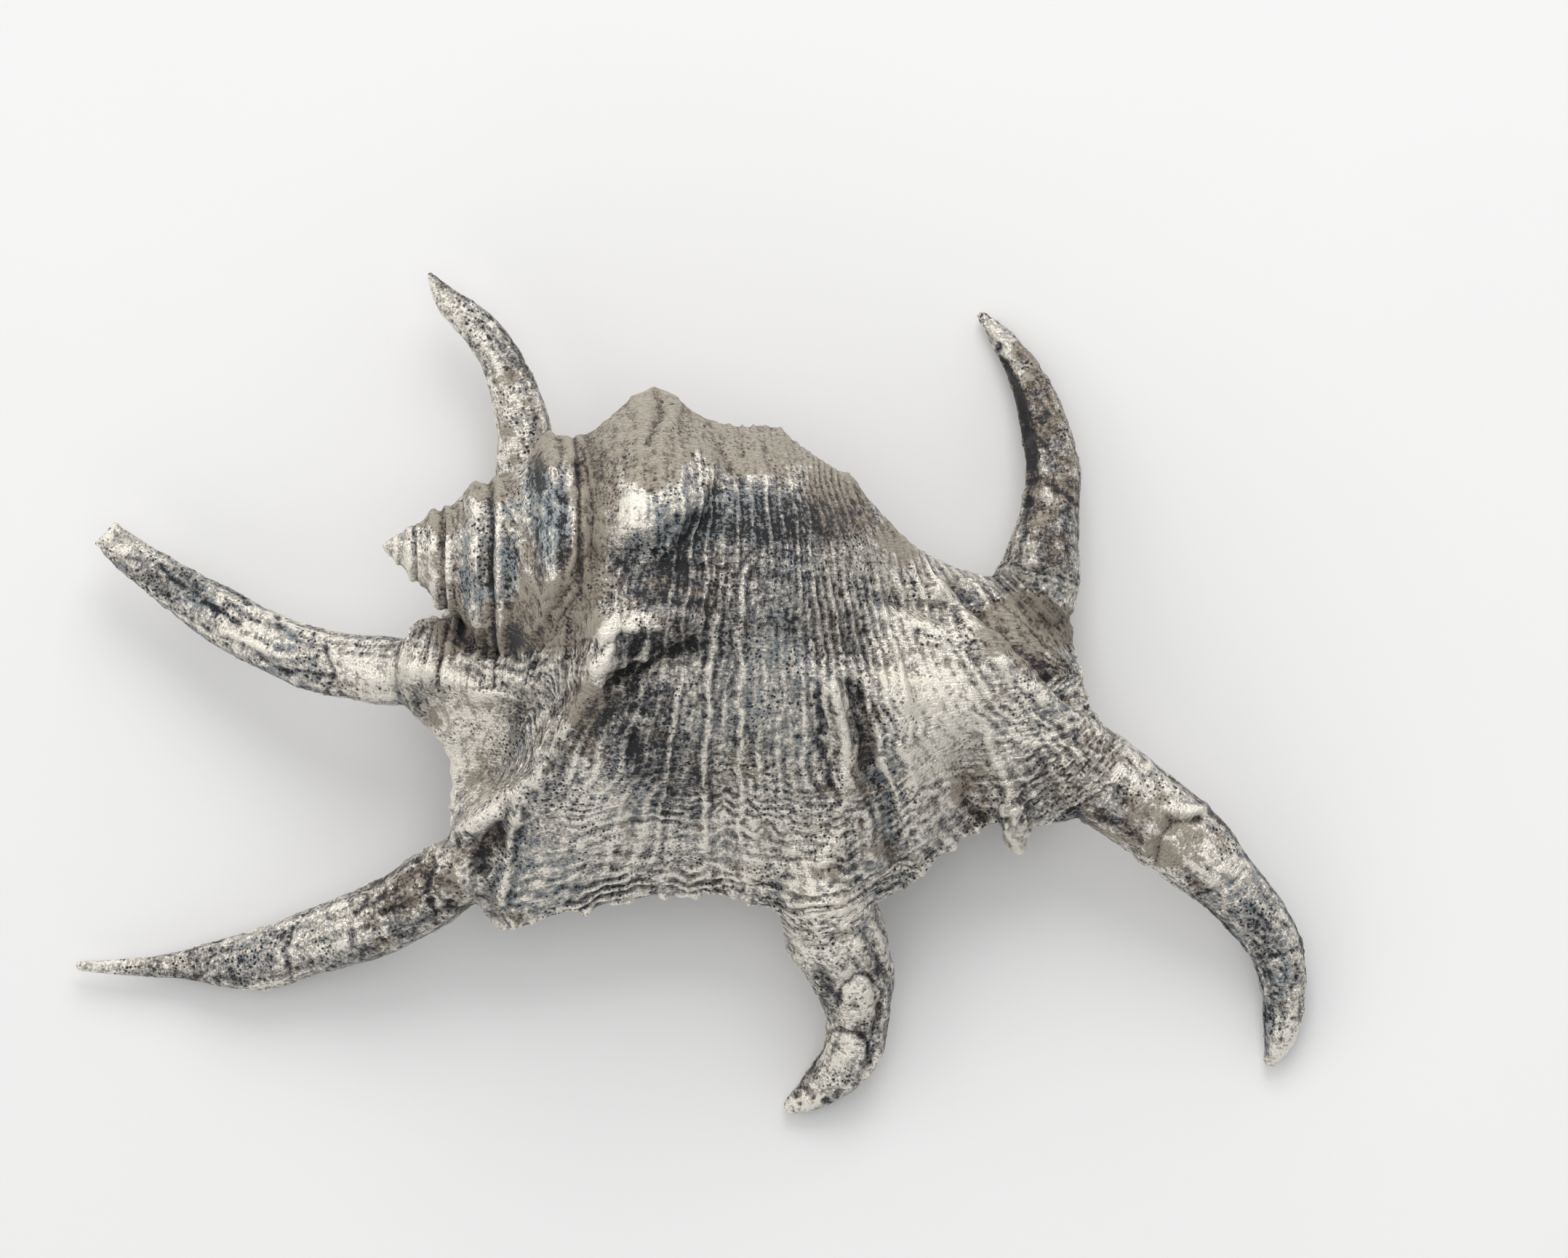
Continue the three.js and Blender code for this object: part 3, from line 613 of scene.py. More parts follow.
def ragged_tooth(places):
    """Thickens the tooth into a ragged lobe."""
    away, _, _ = polyline_place(np.array(TOOTH) + SHIFT[:2], places)
    ragged = TOOTH_RAGGED * clouds(places, size=2.2, seed=64, octaves=2)
    return bell(away, TOOTH_REACH) * (TOOTH_SWELL + ragged)


# Forms on the back that are sharper than the solid's: height, half width on the left and on the right of
# the line as it runs, and the line in plan
FORMS = [
    # the thumb-like knob below the peak, with a soft left side and a steeper right
    (1.3, 5.0, 5.0, [[-14, 51], [-13, 44], [-14, 36], [-15, 30]]),
    (1.2, 4.0, 4.0, [[-8, 27.5], [-2, 30], [3, 36]]),
    (0.8, 1.6, 4.0, [[2.6, 47], [3.6, 41.5], [0.5, 36.5]]),
    (-0.7, 2.4, 2.0, [[6.5, 42], [4, 35], [-1.5, 29]]),
    # the crown of the peak
    (0.9, 1.4, 1.4, [[-10.2, 56.8], [-8.6, 52.5]]),
    (0.9, 1.4, 1.4, [[-3.2, 56.2], [-3.6, 52]]),
    (-0.8, 0.9, 0.9, [[-6.5, 58.5], [-6, 53], [-8, 48]]),
    (-0.6, 0.9, 1.4, [[4, 52], [7, 46], [10, 40]]),
    (0.6, 0.8, 1.6, [[10, 52], [13, 47], [15, 41]]),
    # the ledge under it and its overhang
    (1.2, 3.0, 1.0, [[-16, 11.5], [-12.5, 12.6], [-9, 13.2], [-5.5, 13.6]]),
    (1.6, 2.6, 2.6, [[-3.5, 12], [1, 13.6]]),
    (0.9, 2.5, 0.8, [[-16.5, 5.6], [-12, 6.3], [-8, 7.6]]),
    (-1.2, 1.0, 1.8, [[-15, 1.6], [-13, 4.2], [-9.5, 5.8]]),
    (0.8, 0.8, 1.6, [[-12, -3.4], [-8, -4.4]]),
    # the keel from the ledge down to the third digit, and the wedge beside it
    (1.7, 1.4, 3.2, [[-15.5, 7], [-18, 2.5], [-24.8, -7.5], [-28, -15], [-33, -19.4], [-43, -26]]),
    (1.2, 1.0, 1.0, [[-27, -10.5], [-29.5, -17.5], [-33, -21]]),
    (-1.1, 2.4, 1.2, [[-21.5, 1.5], [-27.5, -8], [-30.5, -15.5]]),
    # rim of the scoop between the second and third digits
    (1.0, 1.0, 2.4, [[-34.5, 3.2], [-28.6, 0.8], [-25.6, -4.8], [-26, -10]]),
    # crest of the second digit, and creases above it that follow the suture
    (1.0, 1.6, 1.6, [[-56, 4.6], [-47, 3.8], [-39.7, 0.2], [-31, -0.8]]),
    (0.7, 0.5, 0.9, [[-47, 9.6], [-40, 6.4], [-33, 5.6], [-27.5, 7.6]]),
    (0.6, 0.5, 0.9, [[-45, 7.4], [-39, 4.4], [-32, 3.6], [-26, 5.2]]),
    # strong cords in the middle
    (0.8, 0.7, 0.6, [[4.4, 15], [3.6, 2], [2.9, -12], [2.4, -30]]),
    (0.6, 0.7, 0.7, [[10.4, 24], [9.6, 8], [9.4, -8], [9.6, -28]]),
    (0.5, 0.6, 0.6, [[-2.2, 1], [-4.6, -16], [-7.5, -32]]),
    (-0.6, 1.6, 1.6, [[-11, -6], [-9, -16], [-12, -26]]),
    (0.7, 3.0, 3.0, [[14, -16], [12, -26], [12, -34]]),
    # ridge and groove beside the fourth digit
    (1.0, 1.6, 1.4, [[27.3, 1.5], [28.7, -6.3], [31, -17], [35, -31]]),
    (-0.5, 1.2, 1.2, [[30.4, 2.5], [31.1, -3.5], [33.8, -12], [37.4, -20.5], [38.4, -33]]),
    (0.9, 1.0, 1.0, [[33.6, 2.5], [34.6, -5], [37.5, -14], [41, -24]]),
    (-0.8, 0.8, 0.8, [[24, 0], [25, -8], [27, -18]]),
    # ridge to the fifth digit and the dark groove behind it
    (1.6, 2.2, 1.6, [[47.6, 19.5], [53, 14.2], [60, 7], [68.5, -0.8], [80, -9.3]]),
    (-1.9, 1.3, 1.5, [[52, 20.5], [57, 15.8], [62.5, 10], [69, 3.4], [73, -1]]),
    (-1.0, 1.8, 1.8, [[52, -14], [55, -24]]),
    (0.8, 1.2, 1.2, [[57, -8], [61, -17], [63, -26]]),
    # fold and recess at the root of the third digit
    (-1.6, 1.6, 2.6, [[-36, -27], [-40, -30], [-41, -34]]),
    (1.2, 0.8, 1.4, [[-33, -24], [-35, -28], [-35.5, -34], [-37, -40]]),
]


# Knuckles, cracks, folds and rings on the digits, in the same way
DIGIT_FORMS = [
    # second digit: the long open seam and the rim of its broken end
    (-0.5, 0.6, 0.6, [[-104, 24.5], [-96, 19.5], [-88, 14]]),
    (-0.5, 0.5, 0.5, [[-84, 7], [-77, 4.2], [-70, 3.4]]),
    (0.4, 0.8, 0.8, [[-92, 12], [-84, 9.4], [-76, 7]]),
    (-0.5, 0.5, 0.7, [[-71, 9.5], [-69.5, 5], [-70.5, 1]]),
    # third digit
    (-0.6, 0.6, 0.7, [[-50, -31.5], [-51.5, -37], [-50, -42]]),
    (-0.4, 0.6, 0.6, [[-63, -40], [-66, -44], [-66, -49]]),
    (0.5, 1.4, 1.4, [[-58, -38], [-60, -42], [-59, -47]]),
    (-0.4, 0.5, 0.5, [[-78, -46], [-80, -50], [-79, -54]]),
    # fourth digit: two arched folds, each over a smooth bulge, and the broken tip
    (-0.6, 0.5, 0.5, [[28.1, -60.9], [28.6, -57], [31.5, -54.7], [35, -55.5], [36.9, -57.9], [36.4, -63.3]]),
    (0.7, 2.2, 2.2, [[32.2, -58.4], [32.6, -62]]),
    (-0.55, 0.5, 0.5, [[25.1, -69.2], [26.6, -66.3], [29.1, -65.9], [32.5, -66.6], [34.5, -68.8],
                       [34.7, -72.3]]),
    (0.6, 2.0, 2.0, [[30.4, -69.4], [28.6, -72.2]]),
    (-0.6, 0.5, 0.5, [[19.7, -77.1], [21.7, -77.2], [23.7, -79.7]]),
    # knuckle of the fifth digit
    (-1.0, 0.6, 0.8, [[99.5, -24.5], [92.5, -24.3], [91.2, -28.9], [90.2, -34.5]]),
    (0.8, 1.3, 1.3, [[99, -22.5], [91, -22], [88.8, -28], [87.5, -33]]),
    (0.6, 3.0, 3.0, [[97.5, -30], [94.5, -32]]),
    (-0.4, 0.6, 0.6, [[108, -33.5], [104, -37], [99.5, -38.5]]),
    (-0.4, 0.5, 0.5, [[119, -50], [114, -51], [109.5, -49]]),
    # sixth digit
    (-0.45, 0.5, 0.6, [[64, 41], [68, 41.8], [72, 39], [75.5, 36.5]]),
    (0.5, 1.2, 1.2, [[64, 38.5], [68, 39], [72, 36.5]]),
    (-0.3, 0.5, 0.5, [[67, 51], [70, 47], [74, 44.5]]),
]


def sharp_forms(regions, places):
    """Height of the forms in both lists, on the upper side, along lines that wander a little."""
    level = np.zeros(len(places))
    wander = [clouds(places, size=5, seed=71, octaves=2), clouds(places, size=5, seed=74, octaves=2), level]
    moved = places + FORM_WANDER * np.stack(wander, axis=1)
    total = np.zeros(len(places))
    for forms, part in ((FORMS, 1 - regions.digit), (DIGIT_FORMS, regions.digit)):
        for height, left, right, line in forms:
            distance, _, side = polyline_place(np.array(line) + SHIFT[:2], moved)
            away = distance * side
            total += height * bell(away, np.where(away > 0, left, right)) * part
    return total * regions.up


def carve(surface):
    """Carves the large forms, then the fine relief, fainter underneath, and stays inside the box."""
    normals = surface.normals()
    regions = Regions(surface.places, normals)
    whorl_form(surface, regions)
    forms = sharp_forms(regions, surface.places)
    surface.places += normals * forms[:, None]
    surface.smooth(RESMOOTHING)
    normals = surface.normals()
    places = surface.places.copy()
    upper = 0.15 + 0.85 * smooth_step(-0.45, 0.1, normals[:, 2])
    depth = np.zeros(len(places))
    for carving in (spiral_cords, growth_wrinkles, spire_threads, ramp_lines):
        depth += carving(regions, places) * upper
    depth += pits(places) * upper
    depth += digit_wrinkles(regions) * (0.4 + 0.6 * upper)
    depth += ragged_margin(regions, places, normals)
    depth += ragged_tooth(places)
    surface.places += normals * depth[:, None]
    low, high = (np.array(corner) / MM for corner in cad_box)
    surface.places = np.clip(surface.places, low, high)


def thin_out(piece):
    triangles = len(piece.data.loop_triangles)
    if triangles <= TRIANGLE_LIMIT:
        return
    thin = piece.modifiers.new("Thin out", "DECIMATE")
    thin.ratio = TRIANGLE_LIMIT / triangles
    bake_modifiers(piece)


def store(mesh, name, values):
    kind = "FLOAT" if values.ndim == 1 else "FLOAT_VECTOR"
    layer = mesh.attributes.new(name, kind, "POINT")
    key = "value" if values.ndim == 1 else "vector"
    layer.data.foreach_set(key, values.astype(np.float32).ravel())


# How far the stain is rubbed off all over, and how deep a recess or hollow is that counts in full
WEAR = 0.06
RECESS_DEPTH = 0.12
HOLLOW_DEPTH = 1.2

# Where the stain is heavy or rubbed off, where painted shade and painted highlights lie, and where the silver
# is
# a dull cream: stain, cream, middle and half sizes in plan. Less cream than none makes the stain bluish.
STAIN_WEAR_CREAM_AND_PAINTED_LIGHT_ZONES = [
    # dull cream on the peak, on the flanks behind it and on the far side of the spire
    (-0.05, 1.0, (-8.5, 52.5), (11, 8.5)),
    (0.25, 0.7, (-17.6, 42.7), (5.5, 13)),
    (0.1, 0.9, (-6, 44.5), (6, 7)),
    (0.0, 1.0, (-26.3, 46.6), (4.5, 4)),
    (0.0, 0.9, (-38, 39.6), (5.5, 3)),
    (0.0, 0.8, (-49.2, 34), (6, 3)),
    (-0.1, 0.9, (13, 47.5), (14, 6)),
    (0.1, 0.9, (29, 38.5), (7, 8)),
    (-0.2, 0.5, (40, 30), (6, 5)),
    (0.05, 0.9, (66, 13), (11, 6.5)),
    (0.0, 0.34, (-36, 21), (14, 14)),
    (0.1, 0.5, (-20, 22), (5, 14)),
    (0.0, 0.5, (-24, 14), (6, 8)),
    (0.0, 0.4, (-20, -2), (4, 8)),
    # dark or bluish stain, and painted shade under the ledge, at the foot of the spire and on the fourth
    # digit
    (0.75, -0.2, (17, 34), (21, 6)),
    (0.7, 0.0, (-6, 25.5), (8, 8)),
    # painted shade: the dark overhang under the ledge
    (0.55, 0.0, (-6.5, 10.4), (8.4, 4)),
    (0.6, 0.0, (-11, -5), (8.5, 11)),
    (0.4, 0.0, (-4, -16), (9, 8)),
    (0.4, -0.1, (14, 19), (17, 13)),
    (0.35, -1.2, (-41.5, 23), (2.6, 9)),
    (0.5, -1.2, (-36.5, 24), (4, 7)),
    (1.2, 0.0, (-28.9, 42), (2.4, 4.5)),
    (0.8, -0.8, (-26, 30.5), (4, 9.5)),
    (0.5, 0.6, (-31.5, 13), (4, 5)),
    (0.35, 0.5, (-46, 12), (4, 4)),
    # painted shadow: the brown band at the foot of the spire, where it meets the lip
    (0.7, 0.6, (-37, 10.4), (7, 2.4)),
    (0.45, 0.25, (-39.4, -29.6), (5, 4.5)),
    (0.6, 0.3, (69, 5), (6.5, 2.6)),
    (0.2, 0.2, (34, -14), (3, 16)),
    (0.35, 0.1, (-20, -3), (4, 6)),
    (0.3, 0.1, (-27, -14), (4, 6)),
    (0.45, 0.35, (70, 40), (6, 16)),
    (0.4, 0.3, (66, 62), (6, 12)),
    (0.2, 0.3, (54, -20), (4, 8)),
    (0.3, 0.3, (-52, -38), (7, 5)),
    (0.25, 0.0, (113, -58), (5, 9)),
    (0.3, 0.0, (113, -56), (6, 12)),
    # partly stain and partly painted shadow, down the left side of the fourth digit under its fold
    (0.35, 0.2, (25.9, -56.7), (3, 5)),
    (0.6, 0.0, (-3, 16), (7, 3)),
    (0.4, 0.0, (-100, 20), (16, 9)),
    (0.1, 0.0, (-88, -53), (14, 6)),
    # worn bright, and on the ledge top and the knob's lower left face a painted highlight as well
    # worn, and a painted highlight on the top of the ledge
    (-0.5, 0.0, (-15, 13.5), (4.5, 4)),
    # worn, and a painted highlight on the lower left face of the thumb-like knob
    (-0.7, 0.0, (-10.5, 36), (2.8, 6)),
    (-0.7, 0.2, (-43.6, -9.3), (9, 14)),
    (-0.3, 0.1, (8, -29), (26, 9)),
    (-0.2, 0.0, (-18, -22), (12, 10)),
    (-0.6, 0.1, (51, -5), (15, 13)),
    (-0.15, 0.0, (28, -58), (12, 22)),
    (-0.25, 0.0, (46, -20), (9, 9)),
    (-0.5, 0.0, (44, 8), (9, 14)),
    (-0.5, 0.0, (-62, 4), (14, 6)),
    (-0.5, 0.2, (-52, 23), (6, 7)),
    (-0.5, 0.0, (27, -45), (8, 12)),
    (-0.5, 0.0, (32.5, -60), (4.5, 6)),
    (-0.3, 0.0, (29, -69.5), (4.5, 4.5)),
    (-0.25, 0.3, (92, -26), (14, 9)),
    (-0.6, 0.1, (94, -31), (6, 6)),
    (-0.35, 0.2, (-34, 58), (8, 18)),
]


# The fold of a digit leaves a dark seam; on the fourth and fifth digits it is also painted shade down their
# right
# side: digit, side in degrees, half angle, strength, and where along the digit it is darkest, with half its
# length
SEAMS_AND_PAINTED_SHADE = [
    (0, 20, 26, 0.5, 0.6, 0.6),
    (1, 280, 40, 0.5, 0.6, 0.6),
    (2, 270, 40, 0.6, 0.6, 0.6),
    (3, 190, 34, 0.7, 0.7, 0.5),
    (4, 190, 36, 0.8, 0.8, 0.5),
    (5, 150, 24, 1.8, 0.66, 0.24),
]


# Darkens one side of each digit: the stain of its seam, and on the fourth and fifth digits painted shade as
# well.
def seam_stain_and_painted_shade(regions):
    total = np.zeros(len(regions.digit))
    for index, side, half, strength, middle, reach in SEAMS_AND_PAINTED_SHADE:
        turn = (regions.digit_turn - side + 180) % 360 - 180
        here = (regions.digit_index == index) * bell(regions.digit_share - middle, reach)
        total += strength * bell(turn, half) * here
    return total * regions.digit


def mottles(regions, places):
    """Patches of heavier and lighter stain a few millimetres across, drawn out in the way of growth."""
    patches = clouds(flow_points(regions, across=4, along=3), size=1, seed=81, octaves=3, fall=0.7)
    drawn = clouds(flow_points(regions, across=1.5, along=8), size=1, seed=85, octaves=3, fall=0.6)
    slow = clouds(flow_points(regions, across=6, along=16), size=1, seed=88, octaves=2)
    digit = regions.digit
    flaky = 0.25 + 0.4 * smooth_step(34, 46, places[:, 0]) * (1 - digit)
    return flaky * patches + digit * (0.7 * drawn + 0.7 * slow + 0.22)


# Stain and cream over the shell. The stain takes in painted shade and painted highlights from the zones and
# seams.
def stain_cream_and_painted_light(regions, places):
    stain = mottles(regions, places) + seam_stain_and_painted_shade(regions) - WEAR
    cream = np.zeros(len(places))
    for heavy, dull, middle, half in STAIN_WEAR_CREAM_AND_PAINTED_LIGHT_ZONES:
        away = (places[:, :2] - np.array(middle) - SHIFT[:2]) / np.array(half)
        reach = 1 - smooth_step(0.45, 1.35, np.linalg.norm(away, axis=1))
        stain += heavy * reach
        cream += dull * reach
    return np.clip(stain, -1.5, 1.5), np.clip(cream, -1, 1)


def store_markings(surface, regions):
    """Stores recesses, hollows, zones and flow on the mesh, for the finish to follow."""
    normals = surface.normals()
    recess = ((surface.blur(surface.places, FINE_BLUR) - surface.places) * normals).sum(1)
    hollow = ((surface.blur(surface.places, BROAD_BLUR) - surface.places) * normals).sum(1)
    store(surface.mesh, "recess", np.clip(recess / RECESS_DEPTH, -1, 1))
    store(surface.mesh, "hollow", np.clip(hollow / HOLLOW_DEPTH, -1, 1))
    stain, cream = stain_cream_and_painted_light(regions, surface.places)
    store(surface.mesh, "stain_wear_and_painted_light_zone", stain)
    store(surface.mesh, "cream_zone", cream)
    flow = np.stack([regions.flow[:, 0], regions.flow[:, 1], regions.digit_index * 5.0], axis=1)
    store(surface.mesh, "flow", flow)


def build_shell():
    piece = remeshed_shell()
    surface = Surface(piece.data)
    surface.smooth(FACET_SMOOTHING)
    carve(surface)
    surface.write()
    thin_out(piece)
    surface = Surface(piece.data)
    regions = Regions(surface.places, surface.normals())
    store_markings(surface, regions)
    piece.data.shade_smooth()
    return piece


# Finish
class Nodes:
    """Adds shader nodes with their inputs set in one call."""

    def __init__(self, tree):
        self.tree = tree

    def add(self, kind, inputs=None, **settings):
        node = self.tree.nodes.new(kind)
        for name, value in settings.items():
            setattr(node, name, value)
        for name, value in (inputs or {}).items():
            if isinstance(value, bpy.types.NodeSocket):
                self.tree.links.new(value, node.inputs[name])
            else:
                node.inputs[name].default_value = value
        return node

    def math(self, operation, a, b=0.0):
        return self.add("ShaderNodeMath", {0: a, 1: b}, operation=operation).outputs[0]

    def vector_math(self, operation, a, b, output=0):
        second = "Scale" if operation == "SCALE" else 1
        return self.add("ShaderNodeVectorMath", {0: a, second: b}, operation=operation).outputs[output]

    def times(self, value, factor):
        return self.math("MULTIPLY", value, factor)

    def total(self, *parts):
        result = parts[0]
        for part in parts[1:]:
            result = self.math("ADD", result, part)
        return result

    def centred(self, noise, strength):
        """Noise from 0 to 1 made to run as far below nothing as above it."""
        return self.times(self.math("SUBTRACT", noise, 0.5), strength)

    def noise(self, vector, scale, detail=3.0, roughness=0.55):
        return self.add("ShaderNodeTexNoise", {
            "Vector": vector, "Scale": scale, "Detail": detail, "Roughness": roughness,
        }).outputs["Fac"]

    def cells(self, vector, scale):
        return self.add("ShaderNodeTexVoronoi", {"Vector": vector, "Scale": scale}).outputs["Distance"]

    def ramp(self, value, low, high, to_low=0.0, to_high=1.0):
        return self.add("ShaderNodeMapRange", {
            "Value": value, "From Min": low, "From Max": high, "To Min": to_low, "To Max": to_high,
        }, interpolation_type="SMOOTHSTEP").outputs[0]

    def blend(self, share, a, b):
        mix = self.add("ShaderNodeMix", {0: share}, data_type="RGBA")
        for index, value in ((6, a), (7, b)):
            if isinstance(value, bpy.types.NodeSocket):
                self.tree.links.new(value, mix.inputs[index])
            else:
                mix.inputs[index].default_value = value
        return mix.outputs[2]

    def attribute(self, name, output="Fac"):
        return self.add("ShaderNodeAttribute", attribute_name=name).outputs[output]

    def stretch(self, vector, scale):
        return self.add("ShaderNodeMapping", {"Vector": vector, "Scale": scale}).outputs[0]


# Colours of the finish, from the brightest wear and painted highlight to the darkest stain and painted shade
WORN_AND_PAINTED_HIGHLIGHT = (0.92, 0.88, 0.79, 1)
SILVER = (0.5, 0.475, 0.43, 1)
PALE_CREAM = (0.43, 0.394, 0.326, 1)
CREAM = (0.27, 0.24, 0.197, 1)
BLUE_GREY = (0.29, 0.335, 0.36, 1)
GREY = (0.2, 0.2, 0.204, 1)
BROWN = (0.2, 0.165, 0.13, 1)
STAIN_AND_PAINTED_SHADE = (0.045, 0.045, 0.048, 1)

# Amounts of stain between which the finish goes from worn bright to silver, to half dark and to black,
# and amounts of cream between which it goes from silver to cream
WORN_STAIN = -0.28
SILVER_STAIN = -0.06
SHADED_STAIN = 0.14
BLACK_STAIN = 0.34
LEAST_CREAM = 0.28
FULL_CREAM = 0.42

# Stretch of the flow coordinates for marks that follow the growth lines, and for those along the cords
GROWTH_STRETCH = (0.3, 1.0, 1.0)
STRAND_STRETCH = (1.0, 0.22, 1.0)
WORN_ROUGHNESS = 0.21
STAINED_ROUGHNESS = 0.4
CREAM_EXTRA_ROUGHNESS = 0.18
CREAM_LESS_METALLIC = 0.7
BUMP_DISTANCE = 0.0005
BUMP_STRENGTH = 0.8


def dark_pinholes(nodes, place):
    """Pinholes in patches, filled with stain."""
    holes = nodes.ramp(nodes.cells(place, 1100), 0.16, 0.42, 0.42, 0.0)
    patches = nodes.ramp(nodes.noise(place, scale=130, detail=3), 0.45, 0.6)
    return nodes.times(holes, patches)


def stain_and_painted_light_amount(nodes, place, growth, streaks):
    """How much stain and painted light there is, from the zones, recesses and hollows of the mesh and from
    noise.
    """
    blotches = nodes.noise(place, scale=480, detail=7, roughness=0.75)
    flecks = nodes.noise(growth, scale=2.7, detail=6, roughness=0.75)
    specks = nodes.noise(place, scale=1500, detail=4, roughness=0.72)
    return nodes.total(
        nodes.times(nodes.attribute("stain_wear_and_painted_light_zone"), 0.36),
        nodes.times(nodes.attribute("recess"), 0.22),
        nodes.times(nodes.attribute("hollow"), 0.12),
        nodes.centred(blotches, 0.6),
        nodes.centred(flecks, 0.8),
        nodes.centred(streaks, 0.7),
        nodes.centred(specks, 1.2),
        dark_pinholes(nodes, place),
    )


def cream_amount(nodes, place):
    """How much of the dull cream there is: its zones, with flaky and ragged edges."""
    flaky = nodes.noise(place, scale=190, detail=7, roughness=0.72)
    ragged = nodes.noise(place, scale=80, detail=3, roughness=0.6)
    return nodes.total(nodes.attribute("cream_zone"), nodes.centred(flaky, 2.2), nodes.centred(ragged, 1.1))


def bare_colour(nodes, growth, stain, is_cream):
    """Silver, brighter where it is worn most, and the cream in two tones."""
    silver = nodes.blend(nodes.ramp(stain, WORN_STAIN, SILVER_STAIN, 1.0, 0.0), SILVER, WORN_AND_PAINTED_HIGHLIGHT)
    tones = nodes.ramp(nodes.noise(growth, scale=3.2, detail=5, roughness=0.7), 0.4, 0.62)
    return nodes.blend(is_cream, silver, nodes.blend(tones, CREAM, PALE_CREAM))


def shade_colour(nodes, place, cream):
    """Half-dark stain and painted shade: grey with bluish patches, and brownish ones beside the cream."""
    tint = nodes.noise(place, scale=48, detail=4, roughness=0.6)
    bluish = nodes.math("MAXIMUM", nodes.ramp(cream, -0.25, -0.4), nodes.ramp(tint, 0.5, 0.64, 0.0, 0.8))
    brownish = nodes.math("MAXIMUM", nodes.ramp(cream, 0.05, 0.3), nodes.ramp(tint, 0.46, 0.34, 0.0, 0.7))
    return nodes.blend(brownish, nodes.blend(bluish, GREY, BLUE_GREY), BROWN)


def fine_relief(nodes, place, growth, streaks, stain):
    """Growth lines, streaks and grains that are finer than the mesh, as a height for the bump."""
    return nodes.total(
        nodes.noise(growth, scale=1.7, detail=5, roughness=0.62),
        nodes.times(streaks, 0.6),
        nodes.times(nodes.noise(place, scale=1700, detail=4, roughness=0.7), 0.9),
        nodes.times(nodes.ramp(stain, -0.05, 0.2), -0.1),
    )


def silver_with_stain_and_painted_light():
    """Silver, worn bright on the ridges, dull cream in patches, stained to black in the recesses, with
    painted shade and highlights.
    """
    material = bpy.data.materials.new("silver_with_stain_and_painted_light")
    material.use_nodes = True
    tree = material.node_tree
    nodes = Nodes(tree)
    place = nodes.add("ShaderNodeTexCoord").outputs["Object"]
    flow = nodes.attribute("flow", "Vector")
    growth = nodes.stretch(flow, GROWTH_STRETCH)
    streaks = nodes.noise(nodes.stretch(flow, STRAND_STRETCH), scale=1.5, detail=6, roughness=0.7)
    stain = stain_and_painted_light_amount(nodes, place, growth, streaks)
    cream = cream_amount(nodes, place)
    is_cream = nodes.ramp(cream, LEAST_CREAM, FULL_CREAM)
    bare = bare_colour(nodes, growth, stain, is_cream)
    half_dark = nodes.ramp(stain, SILVER_STAIN, SHADED_STAIN)
    colour = nodes.blend(half_dark, bare, shade_colour(nodes, place, cream))
    colour = nodes.blend(nodes.ramp(stain, SHADED_STAIN, BLACK_STAIN), colour, STAIN_AND_PAINTED_SHADE)
    rough = nodes.ramp(stain, -0.2, 0.2, WORN_ROUGHNESS, STAINED_ROUGHNESS)
    rough = nodes.math("ADD", rough, nodes.times(is_cream, CREAM_EXTRA_ROUGHNESS))
    metallic = nodes.math("SUBTRACT", 1.0, nodes.times(is_cream, CREAM_LESS_METALLIC))
    bump = nodes.add("ShaderNodeBump", {
        "Height": fine_relief(nodes, place, growth, streaks, stain),
        "Distance": BUMP_DISTANCE,
        "Strength": BUMP_STRENGTH,
    })
    shader = tree.nodes["Principled BSDF"]
    tree.links.new(colour, shader.inputs["Base Color"])
    tree.links.new(rough, shader.inputs["Roughness"])
    tree.links.new(metallic, shader.inputs["Metallic"])
    tree.links.new(bump.outputs[0], shader.inputs["Normal"])
    return material


TABLE_SIZE = 3.0
TABLE_TONES = ((0.77, 0.77, 0.775, 1), (0.8, 0.8, 0.8, 1))
TABLE_ROUGHNESS = 0.7


def pale_table():
    material = bpy.data.materials.new("pale_table")
    material.use_nodes = True
    nodes = Nodes(material.node_tree)
    shader = material.node_tree.nodes["Principled BSDF"]
    place = nodes.add("ShaderNodeTexCoord").outputs["Object"]
    colour = nodes.blend(nodes.noise(place, scale=9, detail=4), *TABLE_TONES)
    material.node_tree.links.new(colour, shader.inputs["Base Color"])
    shader.inputs["Roughness"].default_value = TABLE_ROUGHNESS
    return material


def build_floor():
    sheet = bmesh.new()
    bmesh.ops.create_grid(sheet, x_segments=1, y_segments=1, size=TABLE_SIZE)
    mesh = bpy.data.meshes.new("table_top")
    sheet.to_mesh(mesh)
    sheet.free()
    mesh.materials.append(pale_table())
    floor = bpy.data.objects.new("table_top", mesh)
    bpy.context.scene.collection.objects.link(floor)


# The camera looks straight down through a long lens, as the photograph does
CAMERA_PLACE = (0.0185, 0.0128, 1.4)
CAMERA_LENS = 163.0
CAMERA_SENSOR = 36.0
CAMERA_REACH = 20.0


def build_camera():
    camera = bpy.data.objects.new("camera", bpy.data.cameras.new("camera"))
    camera.data.sensor_width = CAMERA_SENSOR
    camera.data.lens = CAMERA_LENS
    camera.data.clip_end = CAMERA_REACH
    camera.location = CAMERA_PLACE
    bpy.context.scene.collection.objects.link(camera)
    bpy.context.scene.camera = camera


def softbox(name, place, aim, size, power):
    light = bpy.data.lights.new(name, "AREA")
    light.shape = "RECTANGLE"
    light.size, light.size_y = size
    light.energy = power
    lamp = bpy.data.objects.new(name, light)
    lamp.location = place
    direction = np.array(place) - np.array(aim)
    heading = math.atan2(direction[0], -direction[1])
    tilt = math.acos(direction[2] / np.linalg.norm(direction))
    lamp.rotation_euler = (tilt, 0.0, heading)
    bpy.context.scene.collection.objects.link(lamp)
    return lamp


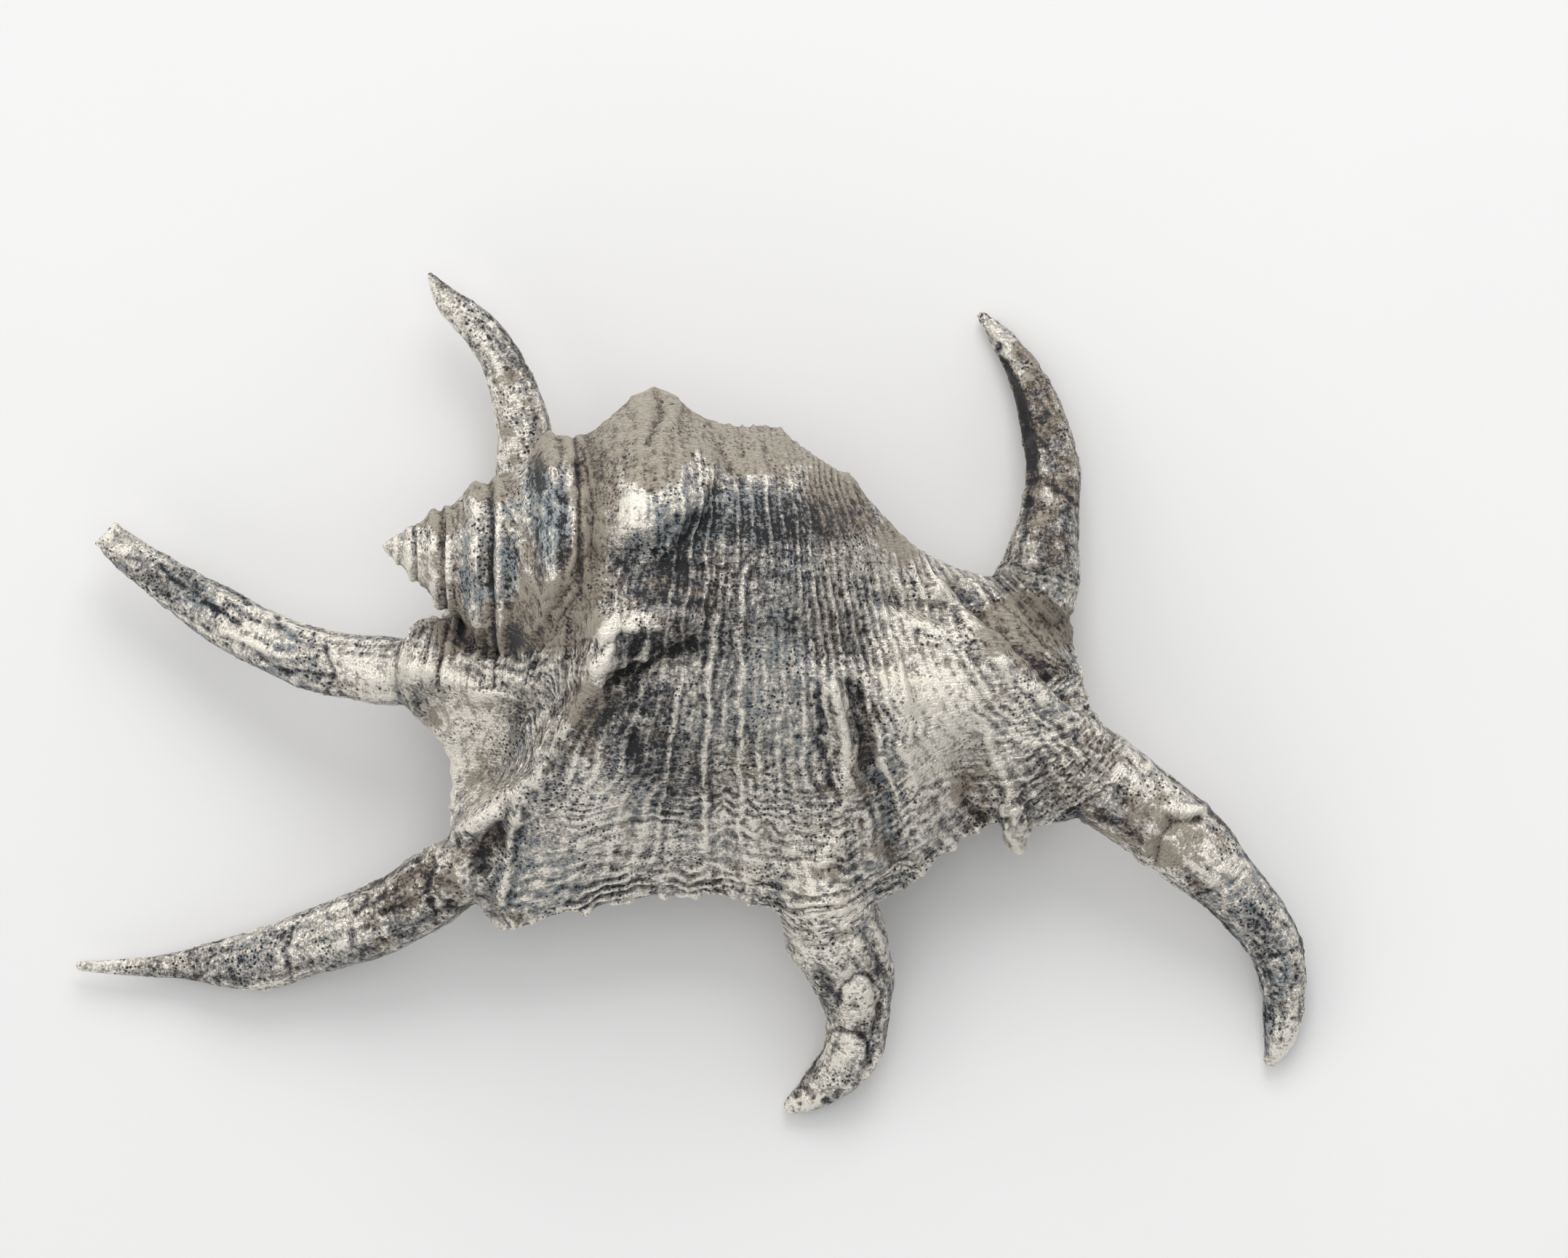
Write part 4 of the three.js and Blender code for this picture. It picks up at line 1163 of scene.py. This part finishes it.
# The room's light by direction: heading in plan, strength and colour. Overhead it is dark.
ROOM_LIGHTS = [
    ((0.15, 1.0), 1.3, (1.0, 0.975, 0.94)),
    ((-1.0, 0.15), 1.2, (1.0, 0.985, 0.96)),
    ((-0.2, -1.0), 0.6, (1.0, 0.99, 0.98)),
    ((1.0, -0.1), 0.25, (0.96, 0.98, 1.0)),
]
ROOM_COLOUR = (0.36, 0.365, 0.37)
ROOM_LIGHT_FALL = 2.5
DARK_OVERHEAD = 0.22
DARK_FROM = 0.55
DARK_TO = 0.88


def build_room():
    """A soft bright band round the horizon, brightest behind, under a dark ceiling."""
    world = bpy.data.worlds.new("room")
    world.use_nodes = True
    tree = world.node_tree
    nodes = Nodes(tree)
    way = nodes.add("ShaderNodeTexCoord").outputs["Generated"]
    height = nodes.add("ShaderNodeSeparateXYZ", {0: way}).outputs["Z"]
    level = nodes.vector_math("MULTIPLY", way, (1, 1, 0))
    level = nodes.vector_math("NORMALIZE", level, (0, 0, 0))
    total = nodes.vector_math("MULTIPLY", ROOM_COLOUR, (1, 1, 1))
    for heading, strength, colour in ROOM_LIGHTS:
        length = math.hypot(*heading)
        aim = (heading[0] / length, heading[1] / length, 0)
        facing = nodes.vector_math("DOT_PRODUCT", level, aim, "Value")
        lobe = nodes.math("POWER", nodes.math("MAXIMUM", facing, 0.0), ROOM_LIGHT_FALL)
        glow = [channel * strength for channel in colour]
        total = nodes.vector_math("ADD", total, nodes.vector_math("SCALE", glow, lobe))
    shade = nodes.ramp(height, DARK_FROM, DARK_TO, 1.0, DARK_OVERHEAD)
    tree.links.new(nodes.vector_math("SCALE", total, shade), tree.nodes["Background"].inputs["Color"])
    tree.nodes["Background"].inputs["Strength"].default_value = 1.0
    bpy.context.scene.world = world


def build_lights():
    softbox("back_light", place=(0.1, 1.1, 0.95), aim=(0, 0, 0), size=(0.8, 0.8), power=8)
    ceiling = softbox("ceiling_light", place=(0.0, 0.1, 1.8), aim=(0, 0.1, 0), size=(1.6, 1.6), power=9)
    ceiling.visible_glossy = False
    build_room()
    bpy.context.scene.view_settings.view_transform = "Standard"


build_camera()
build_lights()
build_floor()

shell = build_shell()
shell.data.materials.clear()
shell.data.materials.append(silver_with_stain_and_painted_light())
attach(shell, "root")
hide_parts(NODE)
